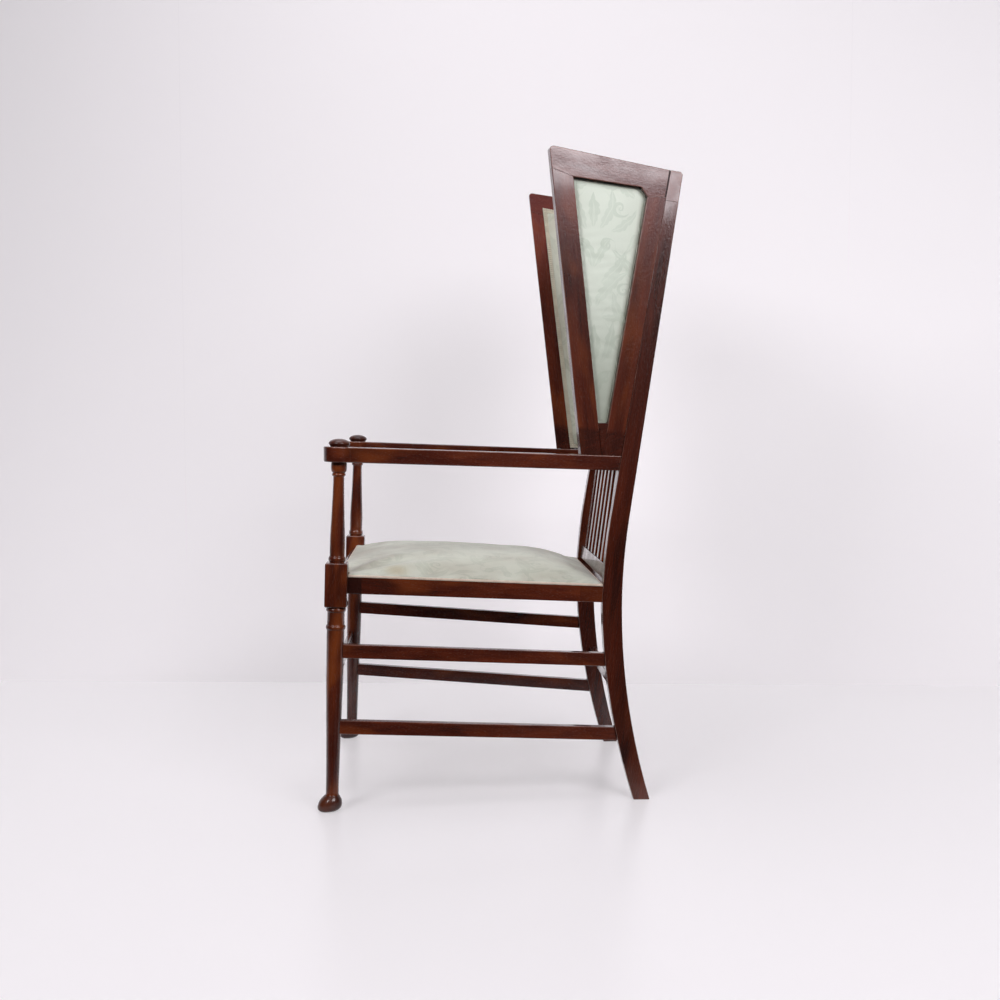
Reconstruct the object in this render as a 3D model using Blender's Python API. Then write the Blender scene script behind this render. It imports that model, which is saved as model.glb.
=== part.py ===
# A high back armchair: turned front posts, sabre rear posts, seven flat spindles under an upholstered back,
# and two framed wings that widen upwards from the arms.
# Sizes are in metres, +Z is up and the sitter faces -Y. The origin is on the floor under the chair's middle.
import math

import bmesh
import bpy
from mathutils import Vector

# Clearances
gap = 0.0003
overrun = 0.004

# Stance of the frame, measured between the post axes
front_spacing = 0.575
rear_spacing = 0.463
post_run = 0.526
seat_height = 0.4468
arm_height = 0.6895
wing_top_height = 1.2515
seat_fall_share = 0.0555
arm_fall_share = 0.035
stretcher_fall_share = 0.06

# Front posts: foot, turned leg, square block, turned arm support and peg
front_lean_share = 0.028
leg_radius = 0.0187
foot_radius = 0.0201
foot_height = 0.031
foot_advance = 0.0106
block_rise = 0.0259
block_height = 0.083
block_bottom = seat_height + block_rise - block_height
block_width = 0.042
block_chamfer = 0.003
support_radius = 0.0164
peg_radius = 0.0100
turning_steps = 28
foot_shares = ((0.0, 0.62), (0.16, 0.9), (0.42, 1.0), (0.66, 0.95), (0.82, 0.84), (0.93, 0.72))
leg_shares = ((0.008, 0.655), (0.045, 0.65), (0.27, 0.715), (0.62, 0.862), (0.878, 0.893), (0.884, 0.96),
              (0.8918, 1.0), (0.8995, 0.96), (0.9055, 0.875), (0.972, 0.872), (0.977, 0.955), (0.984, 0.995),
              (0.991, 0.955), (1.0, 0.875))
support_shares = ((0.0, 0.86), (0.01, 0.885), (0.02, 0.95), (0.036, 0.985), (0.052, 0.95), (0.062, 0.88),
                  (0.072, 0.855), (0.24, 0.865), (0.44, 0.765), (0.64, 0.68), (0.83, 0.625), (0.857, 0.635),
                  (0.864, 0.72), (0.873, 0.775), (0.883, 0.775), (0.892, 0.725), (0.9, 0.775), (0.915, 0.875),
                  (0.94, 0.905), (0.985, 0.895), (1.0, 0.86))

# Caps that close the arm joints
cap_radius = 0.0200
cap_height = 0.0150
cap_spigot_radius = 0.005
cap_spigot_length = 0.012
cap_shares = ((0.0, 0.86), (0.14, 0.86), (0.2, 0.94), (0.4, 1.0), (0.58, 0.96), (0.78, 0.78), (0.93, 0.46),
              (1.0, 0.14))

# Arms: a round boss and a straight bar
boss_radius = 0.0288
arm_width = 0.033
arm_thickness = 0.0285
boss_steps = 24

# Rear posts
post_width = 0.026
knee_height = 0.375
bend_height = 0.550
taper_height = 0.680
heel_depth = 0.0315
knee_depth = 0.0385
elbow_depth = 0.034
top_depth = 0.025
sabre_sweep = 0.0562
back_rake_share = 0.150
sabre_steps = 10
bend_steps = 6

# Rails of the seat and the stretchers
seat_rail_height = 0.0308
seat_rail_width = 0.024
front_rail_setback = 0.009
rear_rail_advance = 0.0111
stretcher_height = 0.026
stretcher_width = 0.016
upper_stretcher_drop = 0.0705
side_upper_height = block_bottom - upper_stretcher_drop
side_lower_height = 0.1745
front_stretcher_height = 0.2525
rear_stretcher_height = 0.2207
front_stretcher_width = 0.010
front_stretcher_advance = 0.006
rear_stretcher_width = 0.0135
rear_stretcher_setback = 0.006

# Back: crest, middle rail, low rail and spindles
crest_height = 0.0565
wing_top_rise = 0.040
post_top_height = wing_top_height - wing_top_rise - crest_height
crest_chamfer = 0.0045
low_rail_lift = 0.0074
low_rail_height = 0.0285
low_rail_depth = 0.020
low_rail_inset = 0.0076
mid_rail_drop = 0.0271
mid_rail_bottom = arm_height - arm_fall_share * post_run - mid_rail_drop
mid_rail_height = 0.044
mid_rail_inset = 0.004
mid_rail_depth = 0.024
spindle_count = 7
spindle_width = 0.020
spindle_depth = 0.008
spindle_inset = 0.0018
spindle_housing = 0.008

# Tenons
tenon_reach = 0.013
tenon_width = 0.009
rail_tenon_height = 0.020
tenon_wall = 0.0035
front_rail_tenon_reach = (block_width - tenon_width) / 2 - tenon_wall
rear_rail_tenon_reach = (post_width - tenon_width) / 2
stretcher_tenon_height = 0.017
stretcher_tenon_width = 0.006
stretcher_tenon_reach = 0.0105
crest_tenon_reach = 0.020
crest_tenon_width = 0.012

# Wings
wing_step = 0.004
wing_thickness = post_width - wing_step
wing_flare_share = 0.12
wing_top_width = 0.2405
wing_top_fall_share = 0.172
wing_nose_radius = 0.009
wing_nose_steps = 5
front_stile_width = 0.040
rear_stile_width = 0.0365
wedge_foot_width = 0.0011
wing_bottom_width = front_stile_width + wedge_foot_width + rear_stile_width
wing_rail_height = 0.0505
wing_rail_rear_height = 0.0425
wing_foot_height = 0.062
opening_chamfer_width = 0.0183
opening_chamfer_height = 0.0178
wing_shoulder_drop = 0.042
wing_tenon_width = 0.008
wing_tenon_height = 0.022
wing_tenon_reach = 0.012
wing_panel_recess = 0.006

# Upholstery
gimp_width = 0.010
gimp_thickness = 0.0025
wing_border_front = 0.025
wing_border_top = 0.031
wing_border_rear = 0.003
wing_border_bottom = 0.004
wing_pad_edge = 0.003
wing_pad_crown = 0.010
back_pad_crown = 0.020
back_pad_inset = 0.003
back_panel_thickness = 0.004
back_panel_inset = 0.004
seat_lip = 0.007
seat_pad_edge = 0.004
seat_pad_crown = 0.038
seat_gimp_height = 0.0065
webbing_thickness = 0.0014
webbing_inset = 0.008
webbing_count = 4
webbing_cover_share = 0.62
crown_power_share = 3.0
pad_steps = 18

# Corner braces under the seat
brace_near_reach = 0.040
brace_far_reach = 0.085
brace_height = 0.022
brace_drop = 0.005

# Colours as linear RGB with roughness
mahogany = (0.075, 0.014, 0.008), 0.28
pale_green_damask = (0.56, 0.63, 0.50), 0.62
cream_gimp = (0.50, 0.44, 0.30), 0.75
jute = (0.36, 0.26, 0.14), 0.85

up = Vector((0, 0, 1))
right = Vector((1, 0, 0))
side_names = {1: "left", -1: "right"}


# Objects, materials and modifiers
def add_object(name, mesh_data, look=None):
    """Puts a mesh into the scene as a piece with its own material, or as a hidden cutter."""
    mesh = bpy.data.meshes.new(name)
    bmesh.ops.recalc_face_normals(mesh_data, faces=mesh_data.faces)
    mesh_data.to_mesh(mesh)
    mesh_data.free()
    piece = bpy.data.objects.new(name, mesh)
    bpy.context.scene.collection.objects.link(piece)
    piece.parent = chair
    if look is None:
        piece.hide_render = True
        piece.display_type = "WIRE"
        return piece
    colour, roughness = look
    material = bpy.data.materials.new(name)
    material.use_nodes = True
    shader = material.node_tree.nodes["Principled BSDF"]
    shader.inputs["Base Color"].default_value = (*colour, 1)
    shader.inputs["Roughness"].default_value = roughness
    shader.inputs["Metallic"].default_value = 0
    mesh.materials.append(material)
    return piece


def combine(piece, other, operation):
    """Adds a Boolean that cuts the other body from the piece or fuses it on."""
    modifier = piece.modifiers.new(other.name, "BOOLEAN")
    modifier.operation = operation
    modifier.solver = "EXACT"
    modifier.object = other


def cut(piece, *cutters):
    for cutter in cutters:
        combine(piece, cutter, "DIFFERENCE")


def fuse(piece, extra):
    combine(piece, extra, "UNION")


def round_shading(piece):
    piece.data.shade_smooth()
    piece.data.set_sharp_from_angle(angle=math.radians(35))


# Solids
def slab(name, near, far, look=None):
    """A closed body between two outlines that have the same number of points."""
    mesh_data = bmesh.new()
    near_points = [mesh_data.verts.new(point) for point in near]
    far_points = [mesh_data.verts.new(point) for point in far]
    mesh_data.faces.new(near_points)
    mesh_data.faces.new(far_points)
    for index in range(len(near_points)):
        corners = (near_points[index - 1], near_points[index], far_points[index], far_points[index - 1])
        mesh_data.faces.new(corners)
    return add_object(name, mesh_data, look)


def frame_ring(name, outer, inner, lift, look):
    """A closed band between two outlines, as thick as the lift."""
    mesh_data = bmesh.new()
    rows = [[mesh_data.verts.new(point) for point in outline]
            for outline in (outer, inner, [p + lift for p in inner], [p + lift for p in outer])]
    for row, next_row in zip(rows, rows[1:] + rows[:1]):
        for index in range(len(row)):
            mesh_data.faces.new((row[index - 1], row[index], next_row[index], next_row[index - 1]))
    return add_object(name, mesh_data, look)


def box(name, centre, axes, size, look=None):
    """A box from its centre, its three unit axes and its three lengths."""
    reach = [axis * length / 2 for axis, length in zip(axes, size)]
    outline = [centre + a * reach[0] + b * reach[1] for a, b in ((-1, -1), (1, -1), (1, 1), (-1, 1))]
    return slab(name, [p - reach[2] for p in outline], [p + reach[2] for p in outline], look)


def turned(name, rings, look=None):
    """A turned body from rings, each a centre, a radius and the slope of its plane along Y."""
    mesh_data = bmesh.new()
    rows = []
    for centre, radius, slope in rings:
        row = []
        for step in range(turning_steps):
            angle = math.tau * step / turning_steps
            across = radius * math.cos(angle)
            along = radius * math.sin(angle)
            row.append(mesh_data.verts.new(centre + Vector((across, along, -slope * along))))
        rows.append(row)
    for row, next_row in zip(rows, rows[1:]):
        for index in range(turning_steps):
            mesh_data.faces.new((row[index - 1], row[index], next_row[index], next_row[index - 1]))
    mesh_data.faces.new(rows[0])
    mesh_data.faces.new(rows[-1])
    piece = add_object(name, mesh_data, look)
    round_shading(piece)
    return piece


def pad(name, back, front, normal, edge, crown, margin=(0, 0), look=None):
    """A crowned cushion on a four-cornered seat: the front corners rise by the edge, the middle by the crown."""
    spread = [-1 + 2 * step / pad_steps for step in range(pad_steps + 1)]
    columns, rows = [
        ([-1] if side_margin else []) + [math.sin(s * math.pi / 2) * (1 - side_margin) for s in spread]
        + ([1] if side_margin else []) for side_margin in margin]

    def place(corners, u, v):
        low = corners[0].lerp(corners[1], (1 + u) / 2)
        high = corners[3].lerp(corners[2], (1 + u) / 2)
        return low.lerp(high, (1 + v) / 2)

    def bulge(value, side_margin):
        share = min(1, abs(value) / (1 - side_margin))
        return 1 - share ** crown_power_share

    mesh_data = bmesh.new()
    grid = []
    for v in rows:
        row = []
        for u in columns:
            rise = edge + (crown - edge) * bulge(u, margin[0]) * bulge(v, margin[1])
            row.append(mesh_data.verts.new(place(front, u, v) + normal * rise))
        grid.append(row)
    for row, next_row in zip(grid, grid[1:]):
        for index in range(len(columns) - 1):
            mesh_data.faces.new((row[index], row[index + 1], next_row[index + 1], next_row[index]))
    rim = [(u, rows[0]) for u in columns] + [(columns[-1], v) for v in rows[1:]]
    rim += [(u, rows[-1]) for u in columns[-2::-1]] + [(columns[0], v) for v in rows[-2:0:-1]]
    rim_top = grid[0] + [row[-1] for row in grid[1:]] + grid[-1][-2::-1] + [row[0] for row in grid[-2:0:-1]]
    rim_back = [mesh_data.verts.new(place(back, u, v)) for u, v in rim]
    mesh_data.faces.new(rim_back)
    for index in range(len(rim)):
        mesh_data.faces.new((rim_top[index - 1], rim_top[index], rim_back[index], rim_back[index - 1]))
    bmesh.ops.triangulate(mesh_data, faces=mesh_data.faces)
    piece = add_object(name, mesh_data, look)
    round_shading(piece)
    return piece


def tenon(guest, host, root, axes, size):
    """Fuses a tenon on the guest at its shoulder and sinks a mortise, one gap larger, into the host."""
    label = guest.name + "_in_" + host.name
    fuse(guest, box(label + "_tenon", root, axes, size))
    cut(host, box(label + "_mortise", root, axes, [length + 2 * gap for length in size]))


# Lines that the frame follows
def side_x(y):
    """Half the width between the centre lines of the two side frames."""
    return (front_spacing + (rear_spacing - front_spacing) * y / post_run) / 2


def post_depth(z):
    """Depth of a rear post from front to back, which changes evenly between four heights."""
    stations = ((0, heel_depth), (knee_height, knee_depth), (taper_height, elbow_depth),
                (post_top_height, top_depth))
    for (low, low_depth), (high, high_depth) in zip(stations, stations[1:]):
        if z < high or high == post_top_height:
            return low_depth + (high_depth - low_depth) * (z - low) / (high - low)


def post_back(z):
    """Y of a rear post's back edge: sabre curve, vertical knee, bend, then the straight rake."""
    knee_back = post_run + knee_depth / 2
    if z < knee_height:
        return knee_back + sabre_sweep * ((knee_height - z) / knee_height) ** 2
    bend_run = bend_height - knee_height
    if z < bend_height:
        return knee_back + back_rake_share * (z - knee_height) ** 2 / (2 * bend_run)
    return knee_back + back_rake_share * (bend_run / 2 + z - bend_height)


def post_front(z):
    return post_back(z) - post_depth(z)


def post_middle(z):
    return post_back(z) - post_depth(z) / 2


def lean_point(side, z):
    """Point on a front post's axis, which is plumb above the front line at seat height."""
    return Vector((side * front_spacing / 2, front_lean_share * (z - block_bottom - block_height / 2), z))


def seat_top(y):
    return seat_height - seat_fall_share * y


def arm_top(y):
    return arm_height - arm_fall_share * y


def side_axes(along):
    """Unit axes across, along and up a bar that runs in a side frame."""
    along = along.normalized()
    across = along.cross(up).normalized()
    return across, along, across.cross(along)


def raked_axes(rake):
    """Unit axes along X, through the back and up the back for a given rake."""
    rise = Vector((0, rake, 1)).normalized()
    return right, rise.cross(right), rise


# Front posts and caps
def block_outline(side, z, width):
    centre = lean_point(side, z)
    half = width / 2
    return [centre + Vector((half * a, half * b, 0)) for a, b in ((-1, -1), (1, -1), (1, 1), (-1, 1))]


def front_block(name, side, grow):
    bottom = block_bottom - grow
    top = block_bottom + block_height + grow
    width = block_width + 2 * grow
    return slab(name, block_outline(side, bottom, width), block_outline(side, top, width))


def leg_rings(side, grow):
    """Rings of the pad foot and the tapered leg, whose lowest ring lies flat on the floor."""
    rings = []
    for height_share, radius_share in foot_shares:
        centre = lean_point(side, foot_height * height_share) - Vector((0, foot_advance * (1 - height_share), 0))
        rings.append((centre, foot_radius * radius_share + grow, front_lean_share * height_share))
    for height_share, radius_share in leg_shares:
        height = foot_height + (block_bottom - foot_height) * height_share
        rings.append((lean_point(side, height), leg_radius * radius_share + grow, front_lean_share))
    return rings


def support_bottom():
    return block_bottom + block_height


def support_top(side):
    """Height of the arm's underside at a front post."""
    under = arm_height - arm_thickness
    return under - arm_fall_share * lean_point(side, under).y


def support_rings(side):
    rings = []
    length = support_top(side) - gap - support_bottom()
    for height_share, radius_share in support_shares:
        slope = arm_fall_share if height_share > 1 / 2 else front_lean_share
        centre = lean_point(side, support_bottom() + length * height_share)
        rings.append((centre, support_radius * radius_share, slope))
    return rings


def peg_rings(side, low, high, radius):
    return [(lean_point(side, z), radius, arm_fall_share) for z in (low, high)]


def make_front_post(side):
    """One turning from pad foot to peg, with its square block fused on."""
    name = "front_post_" + side_names[side]
    peg_top = support_top(side) + arm_thickness - gap
    core_top = [(lean_point(side, support_bottom() - block_chamfer), support_radius * support_shares[0][1],
                 front_lean_share)]
    rings = leg_rings(side, 0) + core_top + support_rings(side)
    rings += peg_rings(side, support_top(side) - gap, peg_top, peg_radius)
    post = turned(name, rings, mahogany)
    block = front_block(name + "_block", side, 0)
    bevel = block.modifiers.new("chamfer", "BEVEL")
    bevel.width = block_chamfer
    bevel.segments = 2
    fuse(post, block)
    bore_bottom = peg_top - cap_spigot_length - gap
    bore = turned(name + "_bore", peg_rings(side, bore_bottom, peg_top + overrun, cap_spigot_radius + gap))
    cut(post, bore)
    return post


def make_cap(side):
    """A bun over the end of the peg, held by a spigot."""
    base = lean_point(side, support_top(side) + arm_thickness + gap)
    spigot_end = lean_point(side, base.z - cap_spigot_length)
    rings = [(spigot_end, cap_spigot_radius, arm_fall_share), (base, cap_spigot_radius, arm_fall_share)]
    for height_share, radius_share in cap_shares:
        centre = lean_point(side, base.z + cap_height * height_share)
        rings.append((centre, cap_radius * radius_share, arm_fall_share))
    turned("arm_cap_" + side_names[side], rings, mahogany)


# Rear posts
def post_outline(side, x, grow):
    """Side outline of a rear post, from the heel up its back edge and down its front edge."""
    low = [-grow] + [knee_height * step / sabre_steps for step in range(1, sabre_steps)]
    bend = [knee_height + (bend_height - knee_height) * step / bend_steps for step in range(bend_steps + 1)]
    heights = low + bend + [taper_height]
    back_top = post_top_height - top_depth * back_rake_share + grow
    outline = [Vector((x, post_back(max(z, 0)) + grow, z)) for z in heights + [back_top]]
    front_heights = [post_top_height + grow] + heights[::-1]
    outline += [Vector((x, post_front(max(z, 0)) - grow, z)) for z in front_heights]
    return outline


def rear_post_body(name, side, grow, look=None, width=post_width):
    middle = side * rear_spacing / 2
    half = width / 2 + grow
    return slab(name, post_outline(side, middle - half, grow), post_outline(side, middle + half, grow), look)


def post_inner_x():
    return rear_spacing / 2 - post_width / 2


# Bars of the side frames
def side_point(side, y, z_front, fall):
    return Vector((side * side_x(y), y, z_front - fall * y))


def side_bar(name, side, top_height, width, height, fall):
    """A bar from a front post to a rear post, raw at both ends inside the posts."""
    middle = top_height - height / 2
    start = side_point(side, lean_point(side, middle).y, middle, fall)
    rear_z = middle - fall * post_run
    end = side_point(side, post_middle(rear_z), middle, fall)
    length = (end - start).length
    return box(name, (start + end) / 2, side_axes(end - start), (width, length, height), mahogany)


def join_side_bar(bar, side, posts, clears, top_height, height, fall, sizes, front_face):
    """Trims a side bar to its posts and tenons both ends."""
    cut(bar, *clears)
    middle = top_height - height / 2
    rear_face = post_front(middle - fall * post_run)
    for post, y in zip(posts, (front_face, rear_face)):
        root = side_point(side, y, middle, fall)
        along = side_point(side, post_run, middle, fall) - side_point(side, 0, middle, fall)
        tenon(bar, post, root, side_axes(along), sizes)


def cross_bar(name, y, top, half_length, depth, height, rake, look=mahogany):
    """A bar across the chair, from its top height at its middle and the rake of its section."""
    axes = raked_axes(rake)
    centre = Vector((0, y, top)) - axes[2] * height / 2
    return box(name, centre, axes, (2 * half_length, depth, height), look), centre


def join_cross_bar(bar, centre, posts, half_length, rake, sizes):
    """Tenons both ends of a bar across the chair."""
    for side, post in posts.items():
        root = centre + right * side * half_length
        tenon(bar, post, root, raked_axes(rake), sizes)


# Arms
def arm_outline(side, z_offset, grow, rear_y):
    """Plan of an arm: the round boss, then two straight sides to its raw rear end."""
    centre = lean_point(side, arm_height - arm_thickness / 2)
    along = Vector((side * (side_x(rear_y) - front_spacing / 2), rear_y - centre.y, 0)).normalized()
    across = along.cross(up)
    half = arm_width / 2 + grow
    radius = boss_radius + grow
    turn = math.asin(half / radius)
    outline = []
    for step in range(boss_steps + 1):
        angle = turn + (math.tau - 2 * turn) * step / boss_steps
        outline.append(centre + along * radius * math.cos(angle) + across * radius * math.sin(angle))
    reach = rear_y - centre.y
    outline.append(centre + along * reach - across * half)
    outline.append(centre + along * reach + across * half)
    return [Vector((p.x, p.y, arm_top(p.y) + z_offset)) for p in outline]


def make_arm(side, rear_post, shoulder_clear):
    name = "arm_" + side_names[side]
    rear_z = arm_top(post_run) - arm_thickness / 2
    rear_y = post_middle(rear_z)
    arm = slab(name, arm_outline(side, 0, 0, rear_y), arm_outline(side, -arm_thickness, 0, rear_y), mahogany)
    round_shading(arm)
    cut(arm, shoulder_clear)
    low = support_top(side) - overrun
    cut(arm, turned(name + "_peg_hole", peg_rings(side, low, low + arm_thickness + 2 * overrun, peg_radius + gap)))
    root = Vector((side * side_x(post_front(rear_z)), post_front(rear_z), rear_z))
    along = Vector((side * (side_x(rear_y) - front_spacing / 2), rear_y, -arm_fall_share * rear_y))
    tenon(arm, rear_post, root, side_axes(along), (tenon_width, 2 * tenon_reach, stretcher_tenon_height))
    return arm


# Wings, drawn on their outer face, which leans out as it comes forward from the post
def joint_line(z):
    """Y of the line where a wing meets its rear post and the crest rail."""
    slope = (post_front(post_top_height) - post_front(taper_height)) / (post_top_height - taper_height)
    return post_front(taper_height) + slope * (z - taper_height)


def wing_normal(side):
    slope = joint_line(post_top_height) - joint_line(taper_height)
    rake = slope / (post_top_height - taper_height)
    return Vector((side, wing_flare_share, -wing_flare_share * rake)).normalized()


def wing_point(side, y, z, inward):
    outer = rear_spacing / 2 + post_width / 2 + wing_flare_share * (joint_line(z) - y)
    normal = wing_normal(1)
    point = Vector((outer, y, z)) - normal * inward
    return Vector((side * point.x, point.y, point.z))


def wing_foot():
    """Height of the raw lower ends of a wing's parts, before the arm trims them."""
    return arm_top(post_run) - overrun


def wing_front(z):
    """Y of a wing's front edge."""
    share = (z - wing_foot()) / (wing_top_height - wing_foot())
    width = wing_bottom_width + (wing_top_width - wing_bottom_width) * share
    return joint_line(z) - width


def wing_top(y):
    """Height of a wing's top edge, which falls to the back."""
    return wing_top_height - wing_top_fall_share * (y - wing_front(wing_top_height))


def wing_slab(name, side, outline, near, far, look):
    """A flat wing part between two depths below the outer face."""
    return slab(name, [wing_point(side, y, z, near) for y, z in outline],
                [wing_point(side, y, z, far) for y, z in outline], look)


def opening_front(z):
    return wing_front(z) + front_stile_width


def opening_rear(z):
    return joint_line(z) - rear_stile_width


def opening_bottom():
    return arm_top(post_run) + wing_foot_height


def opening_corners():
    """The two top corners of a wing's opening and the chamfer at the rear one."""
    front_z = wing_top(opening_front(wing_top_height)) - wing_rail_height
    front_corner = opening_front(front_z), front_z
    rear_y = opening_rear(front_z) - opening_chamfer_width
    rear_z = wing_top(rear_y) - wing_rail_rear_height
    low_z = rear_z - opening_chamfer_height
    return front_corner, (rear_y, rear_z), (opening_rear(low_z), low_z)


def make_wing_frame(side, rear_post, post_clear, crest_clear, arm, arm_floor):
    """Front stile, rear stile, top rail and bottom wedge, each a piece of its own."""
    label = "wing_{}_" + side_names[side]
    front_corner, rear_corner, chamfer_corner = opening_corners()
    low = wing_foot()
    bottom = opening_bottom()
    depth = wing_thickness
    shoulder = wing_top_height - wing_shoulder_drop
    stile = wing_slab(label.format("front_stile"), side,
                      [(wing_front(low), low), (opening_front(low), low),
                       (opening_front(front_corner[1] - gap), front_corner[1] - gap),
                       (wing_front(shoulder), shoulder - gap)], 0, depth, mahogany)
    rear_low = chamfer_corner[1] - gap
    rear_stile = wing_slab(label.format("rear_stile"), side,
                           [(opening_rear(low), low), (joint_line(low) + overrun, low),
                            (joint_line(rear_low) + overrun, rear_low), (opening_rear(rear_low), rear_low)],
                           0, depth, mahogany)
    nose = []
    nose_z = wing_top_height - wing_nose_radius
    for step in range(wing_nose_steps + 1):
        angle = math.pi / 2 * step / wing_nose_steps
        y = wing_front(nose_z) + wing_nose_radius * (1 - math.cos(angle))
        nose.append((y, nose_z + (wing_top(y) - nose_z) * math.sin(angle)))
    crown_z = post_top_height + crest_height
    top_rear = joint_line(crown_z) + overrun
    rail = wing_slab(label.format("top_rail"), side,
                     [(wing_front(shoulder), shoulder)] + nose + [(top_rear, wing_top(top_rear)),
                     (joint_line(chamfer_corner[1]) + overrun, chamfer_corner[1]), chamfer_corner,
                     rear_corner, front_corner], 0, depth, mahogany)
    wedge = wing_slab(label.format("bottom_wedge"), side,
                      [(opening_front(low) + gap, low), (opening_rear(low) - gap, low),
                       (opening_rear(bottom) - gap, bottom), (opening_front(bottom) + gap, bottom)],
                      0, depth, mahogany)
    for piece in (rear_stile, rail):
        cut(piece, post_clear, crest_clear)
    for piece in (stile, rear_stile, wedge):
        cut(piece, arm_floor)
    normal = wing_normal(side)
    join_wing_frame(side, stile, rear_stile, rail, wedge, rear_post, arm, normal)


def wing_axes(normal, along):
    along = along.normalized()
    return normal, along, normal.cross(along)


def join_wing_frame(side, stile, rear_stile, rail, wedge, rear_post, arm, normal):
    """Tenons that hold a wing together and to the post and the arm."""
    front_corner, rear_corner, chamfer_corner = opening_corners()
    middle = wing_thickness / 2
    size = (wing_tenon_width, 2 * wing_tenon_reach, wing_tenon_height)
    shoulder = wing_top_height - wing_shoulder_drop
    stile_middle = front_stile_width / 2
    root = wing_point(side, wing_front(shoulder) + stile_middle, (shoulder + front_corner[1]) / 2, middle)
    lower = wing_point(side, wing_front(bend_height) + stile_middle, bend_height, middle)
    tenon(stile, rail, root, wing_axes(normal, root - lower), size)
    rear_middle = rear_stile_width / 2
    low_z = chamfer_corner[1]
    root = wing_point(side, joint_line(low_z) - rear_middle, low_z, middle)
    lower = wing_point(side, joint_line(bend_height) - rear_middle, bend_height, middle)
    tenon(rear_stile, rail, root, wing_axes(normal, root - lower), size)
    foot = arm_top(post_run) + wing_foot_height / 2
    for height in (foot, (foot + low_z) / 2, low_z - wing_foot_height / 2):
        root = wing_point(side, joint_line(height), height, middle)
        forward = wing_point(side, opening_front(height), height, middle)
        tenon(rear_stile, rear_post, root, wing_axes(normal, root - forward), size)
    arm_y = wing_front(arm_top(post_run)) + stile_middle
    root = wing_point(side, arm_y, arm_top(arm_y), middle)
    tenon(stile, arm, root, wing_axes(normal, up - normal * normal.dot(up)), size)
    root = wing_point(side, opening_rear(foot), foot, middle)
    forward = wing_point(side, opening_front(foot), foot, middle)
    thin = (wing_tenon_width, wing_tenon_reach, wing_tenon_height)
    tenon(wedge, rear_stile, root, wing_axes(normal, root - forward), thin)


def make_wing_upholstery(side):
    """Plug with the outer cloth, inner pad and its gimp border."""
    label = "wing_{}_" + side_names[side]
    front_corner, rear_corner, chamfer_corner = opening_corners()
    bottom = opening_bottom() + gap
    outline = [(opening_front(bottom) + gap, bottom), (opening_rear(bottom) - gap, bottom),
               (chamfer_corner[0] - gap, chamfer_corner[1]), (rear_corner[0] - gap, rear_corner[1] - gap),
               (front_corner[0] + gap, front_corner[1] - gap)]
    wing_slab(label.format("outer_panel"), side, outline, wing_panel_recess, wing_thickness - gap,
              pale_green_damask)
    normal = wing_normal(side)

    def inner_outline(inset):
        low = arm_top(post_run - wing_bottom_width) + wing_border_bottom + inset
        top_front = wing_front(wing_top_height) + wing_border_front + inset
        top_z = wing_top(top_front) - wing_border_top - inset
        front_top = wing_front(top_z) + wing_border_front + inset, top_z
        rear_z = wing_top(joint_line(wing_top_height)) - wing_border_top - inset
        rear_top = joint_line(rear_z) - wing_border_rear - inset, rear_z
        rear_low = joint_line(low) - wing_border_rear - inset, low
        front_low = wing_front(low) + wing_border_front + inset, low
        return [wing_point(side, y, z, wing_thickness + gap) for y, z in (front_low, rear_low, rear_top, front_top)]

    frame_ring(label.format("inner_gimp"), inner_outline(0), inner_outline(gimp_width),
               -normal * gimp_thickness, cream_gimp)
    seat = inner_outline(gimp_width + gap)
    pad(label.format("inner_pad"), seat, seat, -normal, wing_pad_edge, wing_pad_crown, look=pale_green_damask)


# Back between the posts
def crest_body(name, grow, look=None):
    """Crest rail across both post tops, with its rear top edge chamfered."""
    low_front = Vector((0, post_front(post_top_height) - grow, post_top_height + gap - grow))
    back_z = post_top_height - top_depth * back_rake_share
    low_back = Vector((0, post_back(back_z) + grow, back_z + gap - grow))
    front_rise = Vector((0, joint_line(post_top_height + crest_height) - joint_line(post_top_height), crest_height))
    back_rise = Vector((0, back_rake_share * crest_height, crest_height))
    height_share = 1 + 2 * grow / crest_height
    high_front = low_front + front_rise * height_share
    high_back = low_back + back_rise * height_share
    toward_front = (high_front - high_back).normalized() * crest_chamfer
    toward_foot = -back_rise.normalized() * crest_chamfer
    outline = [low_front, low_back, high_back + toward_foot, high_back + toward_front, high_front]
    end = right * (rear_spacing / 2 + post_width / 2 + grow)
    return slab(name, [p - end for p in outline], [p + end for p in outline], look)


def make_crest(posts):
    """Crest rail across the posts, held by a square tenon from each before the wings are let in."""
    crest = crest_body("crest_rail", 0, mahogany)
    size = (crest_tenon_width, crest_tenon_width, 2 * crest_tenon_reach)
    top = post_top_height - top_depth * back_rake_share / 2
    for side, post in posts.items():
        root = Vector((side * rear_spacing / 2, post_middle(top), top))
        tenon(post, crest, root, raked_axes(back_rake_share), size)


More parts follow.
